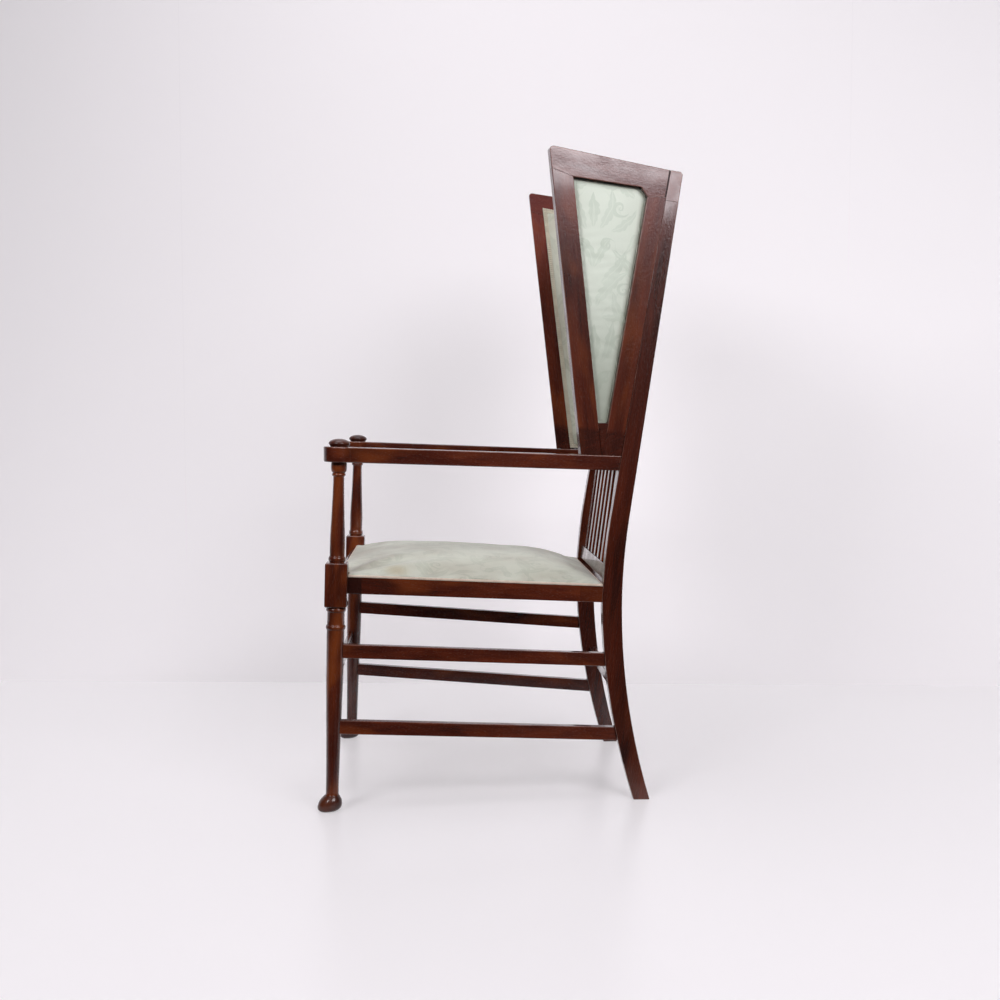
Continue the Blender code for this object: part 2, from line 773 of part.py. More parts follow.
def make_back(posts):
    """Middle rail, low rail and the spindles between them."""
    rake = back_rake_share
    half_length = post_inner_x() - gap
    rail_size = (2 * tenon_reach, tenon_width, rail_tenon_height)
    mid_top = mid_rail_bottom + mid_rail_height
    mid_y = post_front(mid_top) + mid_rail_inset + mid_rail_depth / 2
    mid_rail, mid_centre = cross_bar("back_mid_rail", mid_y, mid_top, half_length, mid_rail_depth,
                                     mid_rail_height, rake)
    low_top = seat_top(post_run) + low_rail_lift + low_rail_height
    low_y = post_front(low_top) + low_rail_inset + low_rail_depth / 2
    low_rail, low_centre = cross_bar("back_low_rail", low_y, low_top, half_length, low_rail_depth,
                                     low_rail_height, rake)
    tenon_shift = Vector((0, (mid_rail_depth - tenon_width) / 2 - tenon_width / 2, 0))
    join_cross_bar(mid_rail, mid_centre + tenon_shift, posts, half_length, rake, rail_size)
    join_cross_bar(low_rail, low_centre, posts, half_length, rake, rail_size)
    through = raked_axes(rake)[1]
    low_foot = low_centre - through * (low_rail_depth / 2 - spindle_inset - spindle_depth / 2)
    high_foot = mid_centre - through * (mid_rail_depth / 2 - spindle_inset - spindle_depth / 2)
    rise = (high_foot - low_foot).normalized()
    axes = right, rise.cross(right), rise
    start = low_foot + rise * (low_rail_height / 2 - spindle_housing)
    end = high_foot - rise * (mid_rail_height / 2 - spindle_housing)
    pitch = 2 * post_inner_x() / (spindle_count + 1)
    for number in range(spindle_count):
        shift = right * pitch * (number - (spindle_count - 1) / 2)
        centre = (start + end) / 2 + shift
        size = (spindle_width, spindle_depth, (end - start).length)
        name = f"back_spindle_{number + 1}"
        box(name, centre, axes, size, mahogany)
        housing = box(name + "_housing", centre, axes, [length + 2 * gap for length in size])
        cut(mid_rail, housing)
        cut(low_rail, housing)


def make_back_upholstery():
    """Pad on the front of the back, its gimp, and the cloth panel outside."""
    half = post_inner_x() - gap
    rake_axes = raked_axes(back_rake_share)
    rail_slope_rise = back_rake_share * (mid_rail_inset + mid_rail_depth / 2)
    low = mid_rail_bottom + mid_rail_height + rail_slope_rise + gap
    high = post_top_height - gap

    def across(line, offset, inset=0):
        corners = []
        reach = half - inset
        for x, z in ((-reach, low + inset), (reach, low + inset), (reach, high - inset), (-reach, high - inset)):
            square_z = z - back_rake_share * (line(z) + offset - post_front(z))
            corners.append(Vector((x, line(square_z) + offset, square_z)))
        return corners

    panel_back = -back_panel_inset
    panel_front = panel_back - back_panel_thickness
    slab("back_outer_panel", across(post_back, panel_back), across(post_back, panel_front), pale_green_damask)
    margin = gimp_width / half, 2 * gimp_width / (high - low)
    pad("back_pad", across(post_back, panel_front - gap), across(post_front, back_pad_inset), -rake_axes[1],
        0, back_pad_crown, margin, pale_green_damask)
    ring_lift = -rake_axes[1] * gimp_thickness
    face = back_pad_inset - gap
    outer = across(post_front, face, gap)
    inner = across(post_front, face, gimp_width - gap)
    frame_ring("back_gimp", outer, inner, ring_lift, cream_gimp)


# Seat
def rail_outer_x(y):
    return side_x(y) + seat_rail_width / 2


def seat_front_y():
    return front_rail_setback - seat_rail_width / 2 + seat_lip


def seat_back_y():
    return post_front(seat_top(post_run)) - gap


def notch_corner():
    """Inner and rear limits of the space that a front block takes from the seat."""
    top = seat_height + seat_gimp_height
    return front_spacing / 2 - block_width / 2 - gap, lean_point(1, top).y + block_width / 2 + gap


def seat_gimp_outline(inset):
    notch_x, notch_y = notch_corner()
    notch_x -= inset
    notch_y += inset
    front_y = seat_front_y() + inset
    back_y = seat_back_y() - inset
    half = [(notch_x, front_y), (notch_x, notch_y), (rail_outer_x(notch_y) - inset, notch_y),
            (rail_outer_x(back_y) - inset, back_y)]
    plan = half + [(-x, y) for x, y in half[::-1]]
    return [Vector((x, y, seat_top(y) + gap)) for x, y in plan]


def make_seat_upholstery():
    """Webbing over the rails, the stuffed pad and the gimp round its foot."""
    frame_ring("seat_gimp", seat_gimp_outline(0), seat_gimp_outline(gimp_thickness), up * seat_gimp_height,
               cream_gimp)
    inset = gimp_thickness + gap
    front_y = seat_front_y() + inset
    back_y = seat_back_y() - inset
    lift = webbing_thickness + 2 * gap
    corners = [Vector((a * (rail_outer_x(y) - inset), y, seat_top(y) + lift))
               for a, y in ((-1, front_y), (1, front_y), (1, back_y), (-1, back_y))]
    seat = pad("seat_pad", corners, corners, up, seat_pad_edge, seat_pad_crown, look=pale_green_damask)
    notch_x, notch_y = notch_corner()
    reach = block_width + overrun
    for side in side_names:
        centre = Vector((side * (notch_x - inset + reach), notch_y + inset - reach, seat_height))
        axes = right, Vector((0, 1, 0)), up
        cut(seat, box("seat_pad_notch_" + side_names[side], centre, axes, (2 * reach, 2 * reach, 2 * reach)))
    make_webbing()


def make_webbing():
    """A lattice of straps over the rails, which leaves square openings between them."""
    first_y = webbing_inset + block_width / 2
    last_y = seat_back_y() - gimp_thickness
    cell_count = 2 * webbing_count - 1
    shares = [0]
    for cell in range(cell_count):
        is_strap = cell % 2 == 0
        weight = webbing_cover_share / webbing_count
        if not is_strap:
            weight = (1 - webbing_cover_share) / (webbing_count - 1)
        shares.append(shares[-1] + weight)
    mesh_data = bmesh.new()
    layers = []
    for lift in (gap, gap + webbing_thickness):
        layer = []
        for v in shares:
            y = first_y + (last_y - first_y) * v
            half = rail_outer_x(y) - webbing_inset
            layer.append([mesh_data.verts.new((half * (2 * u - 1), y, seat_top(y) + lift)) for u in shares])
        layers.append(layer)

    def solid(row, column):
        inside = 0 <= row < cell_count and 0 <= column < cell_count
        return inside and not (row % 2 and column % 2)

    low, high = layers
    for row in range(cell_count):
        for column in range(cell_count):
            if not solid(row, column):
                continue
            around = ((row, column), (row, column + 1), (row + 1, column + 1), (row + 1, column))
            for layer in layers:
                mesh_data.faces.new([layer[r][c] for r, c in around])
            neighbours = ((row - 1, column), (row, column + 1), (row + 1, column), (row, column - 1))
            for index, neighbour in enumerate(neighbours):
                if not solid(*neighbour):
                    (r, c), (r2, c2) = around[index], around[(index + 1) % 4]
                    mesh_data.faces.new((low[r][c], low[r2][c2], high[r2][c2], high[r][c]))
    add_object("seat_webbing", mesh_data, jute)


def make_brace(side, end_y, toward):
    """A block set across a corner of the seat frame, between a cross rail and a side rail."""
    def inner_x(y):
        return side_x(y) - seat_rail_width / 2 - 2 * gap

    plan = []
    for reach in (brace_near_reach, brace_far_reach):
        plan.append((inner_x(end_y) - reach, end_y))
    for reach in (brace_far_reach, brace_near_reach):
        y = end_y + toward * reach
        plan.append((inner_x(y), y))
    place = {1: "front", -1: "rear"}[toward]
    rise = raked_axes(seat_fall_share)[2]
    top = [Vector((side * x, y, seat_top(y))) - rise * brace_drop for x, y in plan]
    name = f"corner_brace_{place}_{side_names[side]}"
    slab(name, top, [p - rise * brace_height for p in top], mahogany)


# Build
for old in list(bpy.data.objects):
    bpy.data.objects.remove(old)
chair = bpy.data.objects.new("chair", None)
bpy.context.scene.collection.objects.link(chair)

front_posts = {side: make_front_post(side) for side in side_names}
rear_posts = {}
for side in side_names:
    rear_posts[side] = rear_post_body("rear_post_" + side_names[side], side, 0, mahogany)
    make_cap(side)

make_crest(rear_posts)
crest_clear = crest_body("crest_clear", gap)
rail_tenon = (tenon_width, 2 * tenon_reach, rail_tenon_height)
stretcher_tenon = (stretcher_tenon_width, 2 * stretcher_tenon_reach, stretcher_tenon_height)
for side in side_names:
    side_name = side_names[side]
    posts = front_posts[side], rear_posts[side]
    post_clear = rear_post_body("rear_post_clear_" + side_name, side, gap)
    shoulder_clear = rear_post_body("rear_shoulder_clear_" + side_name, side, gap, width=2 * arm_width)
    block_clear = front_block("front_block_clear_" + side_name, side, gap)
    leg_clear = turned("front_leg_clear_" + side_name, leg_rings(side, gap))
    seat_rail = side_bar("seat_rail_" + side_name, side, seat_height, seat_rail_width, seat_rail_height,
                         seat_fall_share)
    join_side_bar(seat_rail, side, posts, (block_clear, shoulder_clear), seat_height, seat_rail_height,
                  seat_fall_share, rail_tenon, block_width / 2)
    for level, top_height in (("upper", side_upper_height), ("lower", side_lower_height)):
        stretcher = side_bar(f"side_stretcher_{level}_{side_name}", side, top_height, stretcher_width,
                             stretcher_height, stretcher_fall_share)
        leg_face = lean_point(side, top_height).y + leg_radius * leg_shares[0][1]
        join_side_bar(stretcher, side, posts, (leg_clear, shoulder_clear), top_height, stretcher_height,
                      stretcher_fall_share, stretcher_tenon, leg_face)
    arm = make_arm(side, rear_posts[side], shoulder_clear)
    floor_centre = side_point(side, post_run, arm_top(0) + gap, arm_fall_share)
    floor_axes = right, Vector((0, 1, -arm_fall_share)).normalized(), Vector((0, arm_fall_share, 1)).normalized()
    floor_size = 2 * boss_radius
    arm_floor = box("arm_floor_" + side_name, floor_centre - floor_axes[2] * floor_size / 2, floor_axes,
                    (2 * floor_size, 2 * post_run, floor_size))
    make_wing_frame(side, rear_posts[side], post_clear, crest_clear, arm, arm_floor)
    make_wing_upholstery(side)

front_rail_half = front_spacing / 2 - block_width / 2 - gap
front_rail, front_centre = cross_bar("seat_rail_front", front_rail_setback, seat_top(front_rail_setback),
                                     front_rail_half, seat_rail_width, seat_rail_height, seat_fall_share)
join_cross_bar(front_rail, front_centre, front_posts, front_rail_half, seat_fall_share,
               (2 * front_rail_tenon_reach, tenon_width, rail_tenon_height))
rear_rail_y = post_middle(seat_top(post_run)) - rear_rail_advance
rear_rail, rear_centre = cross_bar("seat_rail_rear", rear_rail_y, seat_top(rear_rail_y), post_inner_x() - gap,
                                   seat_rail_width, seat_rail_height, seat_fall_share)
join_cross_bar(rear_rail, rear_centre, rear_posts, post_inner_x() - gap, seat_fall_share,
               (2 * rear_rail_tenon_reach, tenon_width, rail_tenon_height))

front_bar_y = lean_point(1, front_stretcher_height).y - front_stretcher_advance
front_bar, front_bar_centre = cross_bar("front_stretcher", front_bar_y, front_stretcher_height,
                                        front_spacing / 2, front_stretcher_width, stretcher_height, 0)
for side in side_names:
    cut(front_bar, bpy.data.objects["front_leg_clear_" + side_names[side]])
leg_inner_x = front_spacing / 2 - leg_radius * leg_shares[2][1]
cross_tenon = (2 * stretcher_tenon_reach, stretcher_tenon_width, stretcher_tenon_height)
join_cross_bar(front_bar, front_bar_centre, front_posts, leg_inner_x, 0, cross_tenon)
rear_middle = rear_stretcher_height - stretcher_height / 2
leg_rake = (post_middle(rear_stretcher_height) - post_middle(rear_middle)) / (stretcher_height / 2)
rear_bar_y = post_middle(rear_stretcher_height) + rear_stretcher_setback
rear_bar, rear_bar_centre = cross_bar("rear_stretcher", rear_bar_y, rear_stretcher_height,
                                      post_inner_x() - gap, rear_stretcher_width, stretcher_height, leg_rake)
join_cross_bar(rear_bar, rear_bar_centre, rear_posts, post_inner_x() - gap, leg_rake, cross_tenon)

make_back(rear_posts)
make_back_upholstery()
make_seat_upholstery()
for side in side_names:
    make_brace(side, front_rail_setback + seat_rail_width / 2 + 2 * gap, 1)
    make_brace(side, rear_rail_y - seat_rail_width / 2 - 2 * gap, -1)

# The chair stands with the middle of its outline over the origin
bpy.context.view_layer.update()
depsgraph = bpy.context.evaluated_depsgraph_get()
reach_y = [corner[1] for piece in bpy.data.objects if piece.type == "MESH" and not piece.hide_render
           for corner in piece.evaluated_get(depsgraph).bound_box]
chair.location.y = -(min(reach_y) + max(reach_y)) / 2
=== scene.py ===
# High back armchair: a mahogany frame round pale damask upholstery.
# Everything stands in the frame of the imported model: metres, +Z up, the sitter faces -Y.
import math

import bmesh
import bpy
from mathutils import Matrix, Vector
from mathutils.bvhtree import BVHTree


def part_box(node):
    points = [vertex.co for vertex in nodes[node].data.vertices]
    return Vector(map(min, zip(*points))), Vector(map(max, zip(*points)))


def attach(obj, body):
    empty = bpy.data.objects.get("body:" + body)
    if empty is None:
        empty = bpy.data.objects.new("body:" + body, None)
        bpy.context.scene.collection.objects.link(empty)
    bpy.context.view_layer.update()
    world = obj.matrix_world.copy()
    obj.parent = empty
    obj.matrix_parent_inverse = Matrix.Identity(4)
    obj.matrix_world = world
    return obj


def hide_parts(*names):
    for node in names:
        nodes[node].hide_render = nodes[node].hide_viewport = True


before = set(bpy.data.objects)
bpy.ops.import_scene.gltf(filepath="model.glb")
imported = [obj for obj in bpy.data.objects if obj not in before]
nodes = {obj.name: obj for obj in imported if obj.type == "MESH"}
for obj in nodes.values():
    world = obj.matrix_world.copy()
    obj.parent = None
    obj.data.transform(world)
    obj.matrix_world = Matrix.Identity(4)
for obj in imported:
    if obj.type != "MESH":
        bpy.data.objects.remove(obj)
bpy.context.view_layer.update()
sides = {"left": 1, "right": -1}
wingSplay, wingTilt, backRake = 0.12, 0.02, 0.15            # slopes of the wings' planes and of the back
print("frame loaded:", len(nodes), "nodes")


# Selecting, editing and applying
def makeActive(piece):
    bpy.ops.object.select_all(action="DESELECT")
    piece.select_set(True)
    bpy.context.view_layer.objects.active = piece


def startEditing(piece, mode="VERT"):
    makeActive(piece)
    bpy.ops.object.mode_set(mode="EDIT")
    bpy.ops.mesh.select_mode(type=mode)
    bpy.ops.mesh.select_all(action="SELECT")


def stopEditing():
    bpy.ops.object.mode_set(mode="OBJECT")


def applyModifiers(piece):
    makeActive(piece)
    for modifier in list(piece.modifiers):
        bpy.ops.object.modifier_apply(modifier=modifier.name)


def newPiece(name, mesh):
    piece = bpy.data.objects.new(name, mesh)
    bpy.context.scene.collection.objects.link(piece)
    return piece


def lastAdded(name):
    piece = bpy.context.active_object
    piece.name = name
    piece.data.name = name
    return piece


def settle(piece):
    piece.data.transform(piece.matrix_world)                # the place goes into the mesh
    piece.matrix_world = Matrix.Identity(4)
    return piece


def joined(name, pieces):
    makeActive(pieces[0])
    for piece in pieces[1:]:
        piece.select_set(True)
    bpy.ops.object.join()
    return lastAdded(name)


def smoothed(piece, degrees):
    makeActive(piece)
    bpy.ops.object.shade_smooth_by_angle(angle=math.radians(degrees))


def copyOfNode(node, name):
    piece = newPiece(name, nodes[node].data.copy())
    piece.data.materials.clear()
    makeActive(piece)
    bpy.ops.mesh.customdata_custom_splitnormals_clear()
    startEditing(piece)
    bpy.ops.mesh.remove_doubles(threshold=0.00001)
    bpy.ops.mesh.dissolve_limited(angle_limit=math.radians(0.4))
    stopEditing()
    return piece


def keep(piece, node):
    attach(piece, "root")
    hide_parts(node)
    return piece


# Shader sums: a wire is a socket that can stand in an expression
class Wire:
    def __init__(self, finish, socket):
        self.finish = finish
        self.socket = socket

    def __add__(self, other):
        return self.finish.math("ADD", self, other)

    def __sub__(self, other):
        return self.finish.math("SUBTRACT", self, other)

    def __rsub__(self, other):
        return self.finish.math("SUBTRACT", other, self)

    def __mul__(self, other):
        return self.finish.math("MULTIPLY", self, other)

    def __truediv__(self, other):
        return self.finish.math("DIVIDE", self, other)

    def __pow__(self, other):
        return self.finish.math("POWER", self, other)

    __radd__ = __add__
    __rmul__ = __mul__


class Finish:
    def __init__(self, name, **constants):
        self.material = bpy.data.materials.new(name)
        self.material.use_nodes = True
        self.tree = self.material.node_tree
        self.shader = self.tree.nodes["Principled BSDF"]
        for socket, value in constants.items():
            self.plug(self.shader.inputs[socket.replace("_", " ")], value)

    def plug(self, socket, value):
        if isinstance(value, Wire):
            self.tree.links.new(value.socket, socket)
        elif socket.type == "RGBA" and len(value) == 3:
            socket.default_value = (*value, 1)
        else:
            socket.default_value = value

    def node(self, kind, settings, values, out=0):
        made = self.tree.nodes.new("ShaderNode" + kind)
        for key, value in settings.items():
            if key == "stops":
                for index, (place, colour) in enumerate(value):
                    stop = made.color_ramp.elements[index] if index < 2 else made.color_ramp.elements.new(place)
                    stop.position = place
                    stop.color = (*colour, 1)
            else:
                setattr(made, key, value)
        for key, value in values.items():
            self.plug(made.inputs[key], value)
        return Wire(self, made.outputs[out])

    def math(self, operation, *values):
        return self.node("Math", {"operation": operation}, dict(enumerate(values)))

    def vector(self, operation, *values, out=0):
        return self.node("VectorMath", {"operation": operation}, dict(enumerate(values)), out)

    def mix(self, share, first, second):
        return self.node("Mix", {"data_type": "RGBA"}, {0: share, 6: first, 7: second}, 2)

    def place(self):
        return self.node("TexCoord", {}, {}, "Object")

    def along(self, direction):
        return self.vector("DOT_PRODUCT", self.place(), direction, out=1)

    def noise(self, spot, detail=2.0, roughness=0.5, distortion=0.0):
        return self.node("TexNoise", {}, {"Vector": spot, "Scale": 1.0, "Detail": detail,
                                          "Roughness": roughness, "Distortion": distortion})

    def step(self, value, low, high):
        return self.node("MapRange", {"interpolation_type": "SMOOTHSTEP"},
                         {0: value, 1: low, 2: high, 3: 0.0, 4: 1.0})

    def bump(self, height, strength, distance):
        lifted = self.node("Bump", {}, {"Height": height, "Strength": strength, "Distance": distance})
        self.plug(self.shader.inputs["Normal"], lifted)


# Mahogany under a French polish
woodLook = {
    "deep": (0.0180, 0.0031, 0.0016), "body": (0.0610, 0.0095, 0.0034), "flame": (0.1380, 0.0235, 0.0066),
    "amber": (0.1850, 0.0400, 0.0084), "edgeGlintAndWear": (0.25, 0.13, 0.10), "ding": (0.30, 0.19, 0.13),
    "polish": 0.25, "polishSpread": 0.10, "coat": 1.0, "coatRoughness": 0.08, "specular": 0.30,
    # painted sheen: a pale red laid over the wood toward the top of the back and wings, where the lamps' sheen falls
    "paintedSheen": (0.20, 0.055, 0.052), "paintedSheenShare": 0.42, "paintedSheenFrom": 1.00, "paintedSheenTo": 1.22,
    "figure": (0.30, 0.030, 0.030), "streak": (0.22, 0.0042, 0.0042), "pore": (0.014, 0.0007, 0.0007),
    "glow": (0.16, 0.055, 0.055), "craze": (0.0060, 0.0032, 0.0032), "mottle": (0.05, 0.03, 0.03),
    "footGrain": (0.012, 0.06, 0.012), "footShare": 0.8, "bandEdge": 0.0006, "crazeDepth": 16.0,
    "figureShare": 0.74, "poreShare": 0.14, "poreDepth": 0.00012, "edgeGlintAndWearShare": 0.55,
    "dingCell": 30.0, "dingSize": 0.022, "dingShare": 0.7,
}


def mahogany(name, grain, seed, warmth, dark=(), footHeight=None, craze=0.0, paintedSheen=False, tone=0.0):
    look = woodLook
    finish = Finish(name, Specular_IOR_Level=look["specular"], Coat_Roughness=look["coatRoughness"], IOR=1.5)
    turn = Vector(grain).to_track_quat("X", "Z").to_euler()
    offset = Vector((seed * 0.37, seed * 0.91, seed * 0.53))

    def stretched(size):
        return finish.node("Mapping", {"vector_type": "TEXTURE"},
                           {"Vector": finish.place(), "Location": offset, "Rotation": turn, "Scale": size})

    figure = finish.noise(stretched(look["figure"]), 4.0, 0.55, 0.6)
    streak = finish.noise(stretched(look["streak"]), 3.0, 0.6, 0.3)
    pore = finish.step(finish.noise(stretched(look["pore"]), 1.0), 0.60, 0.72)
    glow = finish.noise(stretched(look["glow"]), 2.0, 0.5, 0.4)
    level = figure * look["figureShare"] + streak * (1 - look["figureShare"]) + tone
    colour = finish.node("ValToRGB", {"stops": ((0.26, look["deep"]), (0.47, look["body"]), (0.72, look["flame"]))},
                         {0: level})
    colour = finish.mix(finish.step(glow, 0.46, 0.70) * warmth, colour, look["amber"])
    colour = finish.mix(pore * look["poreShare"], colour, look["deep"])
    edgeGlintAndWear = finish.node("Attribute", {"attribute_name": "edgeGlintAndWear"}, {}, "Fac")
    if footHeight:                                          # the joined foot: cross grain and a darker stain
        across = finish.node("Mapping", {"vector_type": "TEXTURE"},
                             {"Vector": finish.place(), "Rotation": (0.25, 0, 0), "Scale": look["footGrain"]})
        cross = finish.noise(across, 3.0, 0.6, 1.0)
        low = 1 - finish.step(finish.along((0, 0.12, 1)), footHeight - 0.006, footHeight + 0.007)
        stained = finish.mix(finish.step(cross, 0.30, 0.75) * 0.6 + 0.2, look["deep"], look["body"])
        colour = finish.mix(low * look["footShare"], colour, stained)
        edgeGlintAndWear = edgeGlintAndWear * (1 - low)
    if paintedSheen:                                               # painted sheen: the wood is drawn lighter and redder toward the top, where the lamps' sheen falls
        sheenHeight = finish.step(finish.along((0, 0, 1)) + (glow - 0.5) * 0.10, look["paintedSheenFrom"], look["paintedSheenTo"])
        colour = finish.mix(sheenHeight * (streak * 0.5 + 0.75) * look["paintedSheenShare"], colour, look["paintedSheen"])
    # painted highlight and wear: the eased edges are drawn lighter in patches, for the lamps' glints along them as
    # well as wear of the polish
    glintAndWear = edgeGlintAndWear * finish.step(glow + streak * 0.6, 0.55, 0.95) * look["edgeGlintAndWearShare"]
    colour = finish.mix(glintAndWear, colour, look["edgeGlintAndWear"])
    coat = (finish.step(finish.noise(stretched(look["mottle"]), 3.0, 0.6), 0.30, 0.70) * 0.6 + 0.4) * look["coat"]
    rough = look["polish"] + (figure - 0.5) * look["polishSpread"] + pore * 0.10
    for direction, start, end, share, dull in dark:         # stretches drawn darker, and some that stay dull; at the back ends of the wing top rails this is a painted shadow line
        reach = finish.along(direction)
        edge = look["bandEdge"]
        band = finish.step(reach, start, start + edge) * (1 - finish.step(reach, end, end + edge))
        colour = finish.mix(band * share, colour, look["deep"])
        coat = coat * (1 - band * dull)
        rough = rough + band * (dull * 0.3)
    cells = finish.node("TexVoronoi", {}, {"Vector": finish.place(), "Scale": look["dingCell"]})
    pick = finish.node("SeparateColor", {}, {0: Wire(finish, cells.socket.node.outputs["Color"])})
    spread = finish.step(cells + figure * 0.02, look["dingSize"], look["dingSize"] + 0.012)
    ding = (1 - spread) * finish.step(pick, 0.72, 0.74)
    colour = finish.mix(ding * look["dingShare"], colour, look["ding"])
    finish.plug(finish.shader.inputs["Base Color"], colour)
    finish.plug(finish.shader.inputs["Roughness"], rough)
    finish.plug(finish.shader.inputs["Coat Weight"], coat)
    height = streak * 0.35 + pore * -0.6 + ding * -1.5
    if craze:
        height = height + finish.noise(stretched(look["craze"]), 2.0, 0.6) * craze * look["crazeDepth"]
    finish.bump(height, 0.35, look["poreDepth"])
    return finish.material


# Each timber: the way its grain runs, how far its edges are eased, and how warm it is. A dark stretch is
# (direction, start, end, share, dull), and a foot height is where a wing's joined foot ends.
timbers = {
    "arm_{}": {"grain": (0, 1, -0.035), "ease": 0.0020, "warmth": 0.85},
    "rear_post_{}": {"grain": (0, 0.15, 1), "ease": 0.0014, "warmth": 0.15, "craze": 0.8, "paintedSheen": True,
                     "tone": -0.08},
    "seat_rail_{}": {"grain": (0, 1, -0.0555), "ease": 0.0010, "warmth": 0.6,
                     "dark": (((0, 1, 0), -9, -0.2620, 0.86, 0), ((0, 1, 0), 0.1540, 9, 0.30, 0))},
    "side_stretcher_upper_{}": {"grain": (0, 1, -0.06), "ease": 0.0013, "warmth": 0.6},
    "side_stretcher_lower_{}": {"grain": (0, 1, -0.06), "ease": 0.0013, "warmth": 0.5},
    "wing_front_stile_{}": {"grain": (0, -0.11, 1), "ease": 0.0014, "warmth": 0.8,
                            "footHeight": 0.7430, "craze": 0.4, "paintedSheen": True},
    "wing_rear_stile_{}": {"grain": (0, 0.16, 1), "ease": 0.0014, "warmth": 0.5,
                           "footHeight": 0.7430, "craze": 0.8, "paintedSheen": True},
    "wing_top_rail_{}": {"grain": (0, 1, -0.172), "ease": 0.0014, "warmth": 0.15, "craze": 0.8, "paintedSheen": True},
    "wing_bottom_wedge_{}": {"grain": (0, 1, 0.1), "ease": 0.0008, "warmth": 0.1, "footHeight": 0.7700},
    "corner_brace_front_{}": {"grain": (1, 1, 0), "ease": 0.0008, "warmth": 0.6},
    "corner_brace_rear_{}": {"grain": (1, 1, 0), "ease": 0.0008, "warmth": 0.6},
    "crest_rail": {"grain": (1, 0, 0), "ease": 0.0012, "warmth": 0.1, "paintedSheen": True},
    "back_mid_rail": {"grain": (1, 0, 0), "ease": 0.0012, "warmth": 0.3},
    "back_low_rail": {"grain": (1, 0, 0), "ease": 0.0014, "warmth": 0.3},
    "seat_rail_front": {"grain": (1, 0, 0), "ease": 0.0012, "warmth": 0.5},
    "seat_rail_rear": {"grain": (1, 0, 0), "ease": 0.0010, "warmth": 0.5},
    "front_stretcher": {"grain": (1, 0, 0), "ease": 0.0012, "warmth": 0.3},
    "rear_stretcher": {"grain": (1, 0, 0), "ease": 0.0012, "warmth": 0.3},
}
railEnd = (0, 1, -0.16)                                     # the top rails end against the raked post
railReach = max(vertex.co.dot(Vector(railEnd)) for vertex in nodes["wing_top_rail_left"].data.vertices)
# painted shadow: the last few millimetres of each wing top rail are drawn dark and dull, for the shadow in its joint
# at the back
timbers["wing_top_rail_{}"]["dark"] = ((railEnd, railReach - 0.0036, 9, 0.9, 0.95),)
edgeRules = {"sharp": 32, "near": 0.0011, "jointShare": 0.22, "segments": 3}

depsgraph = bpy.context.evaluated_depsgraph_get()
nodeTrees = {name: BVHTree.FromObject(node, depsgraph) for name, node in nodes.items()}


def touchesNeighbour(point, own):
    for name, tree in nodeTrees.items():
        if name != own and tree.find_nearest(point, edgeRules["near"])[0] is not None:
            return True
    return False


def easeEdges(piece, own, width):
    mesh = bmesh.new()
    mesh.from_mesh(piece.data)
    weights = mesh.edges.layers.float.new("bevel_weight_edge")
    for edge in mesh.edges:
        if len(edge.link_faces) == 2 and edge.is_convex:
            if edge.calc_face_angle() > math.radians(edgeRules["sharp"]):
                middle = (edge.verts[0].co + edge.verts[1].co) / 2
                edge[weights] = edgeRules["jointShare"] if touchesNeighbour(middle, own) else 1
    mesh.to_mesh(piece.data)
    mesh.free()
    smoothed(piece, 180)
    bevel = piece.modifiers.new("eased edges", "BEVEL")
    bevel.limit_method = "WEIGHT"
    bevel.width = width
    bevel.segments = edgeRules["segments"]
    bevel.use_clamp_overlap = False
    bevel.harden_normals = True
    bevel.material = 1
    applyModifiers(piece)


def markRubbed(piece):
    # the eased edges' faces are kept as the mask for the painted edge glints and wear
    mark = piece.data.attributes.new("edgeGlintAndWear", "FLOAT", "FACE")
    mark.data.foreach_set("value", [float(face.material_index == 1) for face in piece.data.polygons])
    for face in piece.data.polygons:
        face.material_index = 0


def makeTimber(node, look, seed):
    piece = copyOfNode(node, node.replace("_", " ").title().replace(" ", "") + "Wood")
    finish = mahogany(node + "_mahogany", look["grain"], seed, look["warmth"], look.get("dark", ()),
                      look.get("footHeight"), look.get("craze", 0), look.get("paintedSheen", False), look.get("tone", 0))
    for slot in range(2):
        piece.data.materials.append(finish)
    easeEdges(piece, node, look["ease"])
    markRubbed(piece)
    piece.data.materials.pop()
    return keep(piece, node)


seed = 1
for pattern, look in timbers.items():
    for side in sides if "{}" in pattern else ("",):
        grain = (look["grain"][0] * sides.get(side, 1), *look["grain"][1:])
        makeTimber(pattern.format(side), dict(look, grain=grain), seed)
        seed += 1
spindles = {"count": 7, "grain": (0, 0.16, 1), "ease": 0.0010, "warmth": 0.3}
for number in range(1, spindles["count"] + 1):
    makeTimber(f"back_spindle_{number}", spindles, seed + number)
print("timbers eased and polished")


# Turned front posts and the caps over the arm joints, as (height share, radius share)
def bead(middle, half, base, peak):
    points = []
    for step in range(7):
        turn = math.pi * step / 6
        points.append((middle - half * math.cos(turn), base + (peak - base) * math.sin(turn)))
    return tuple(points)


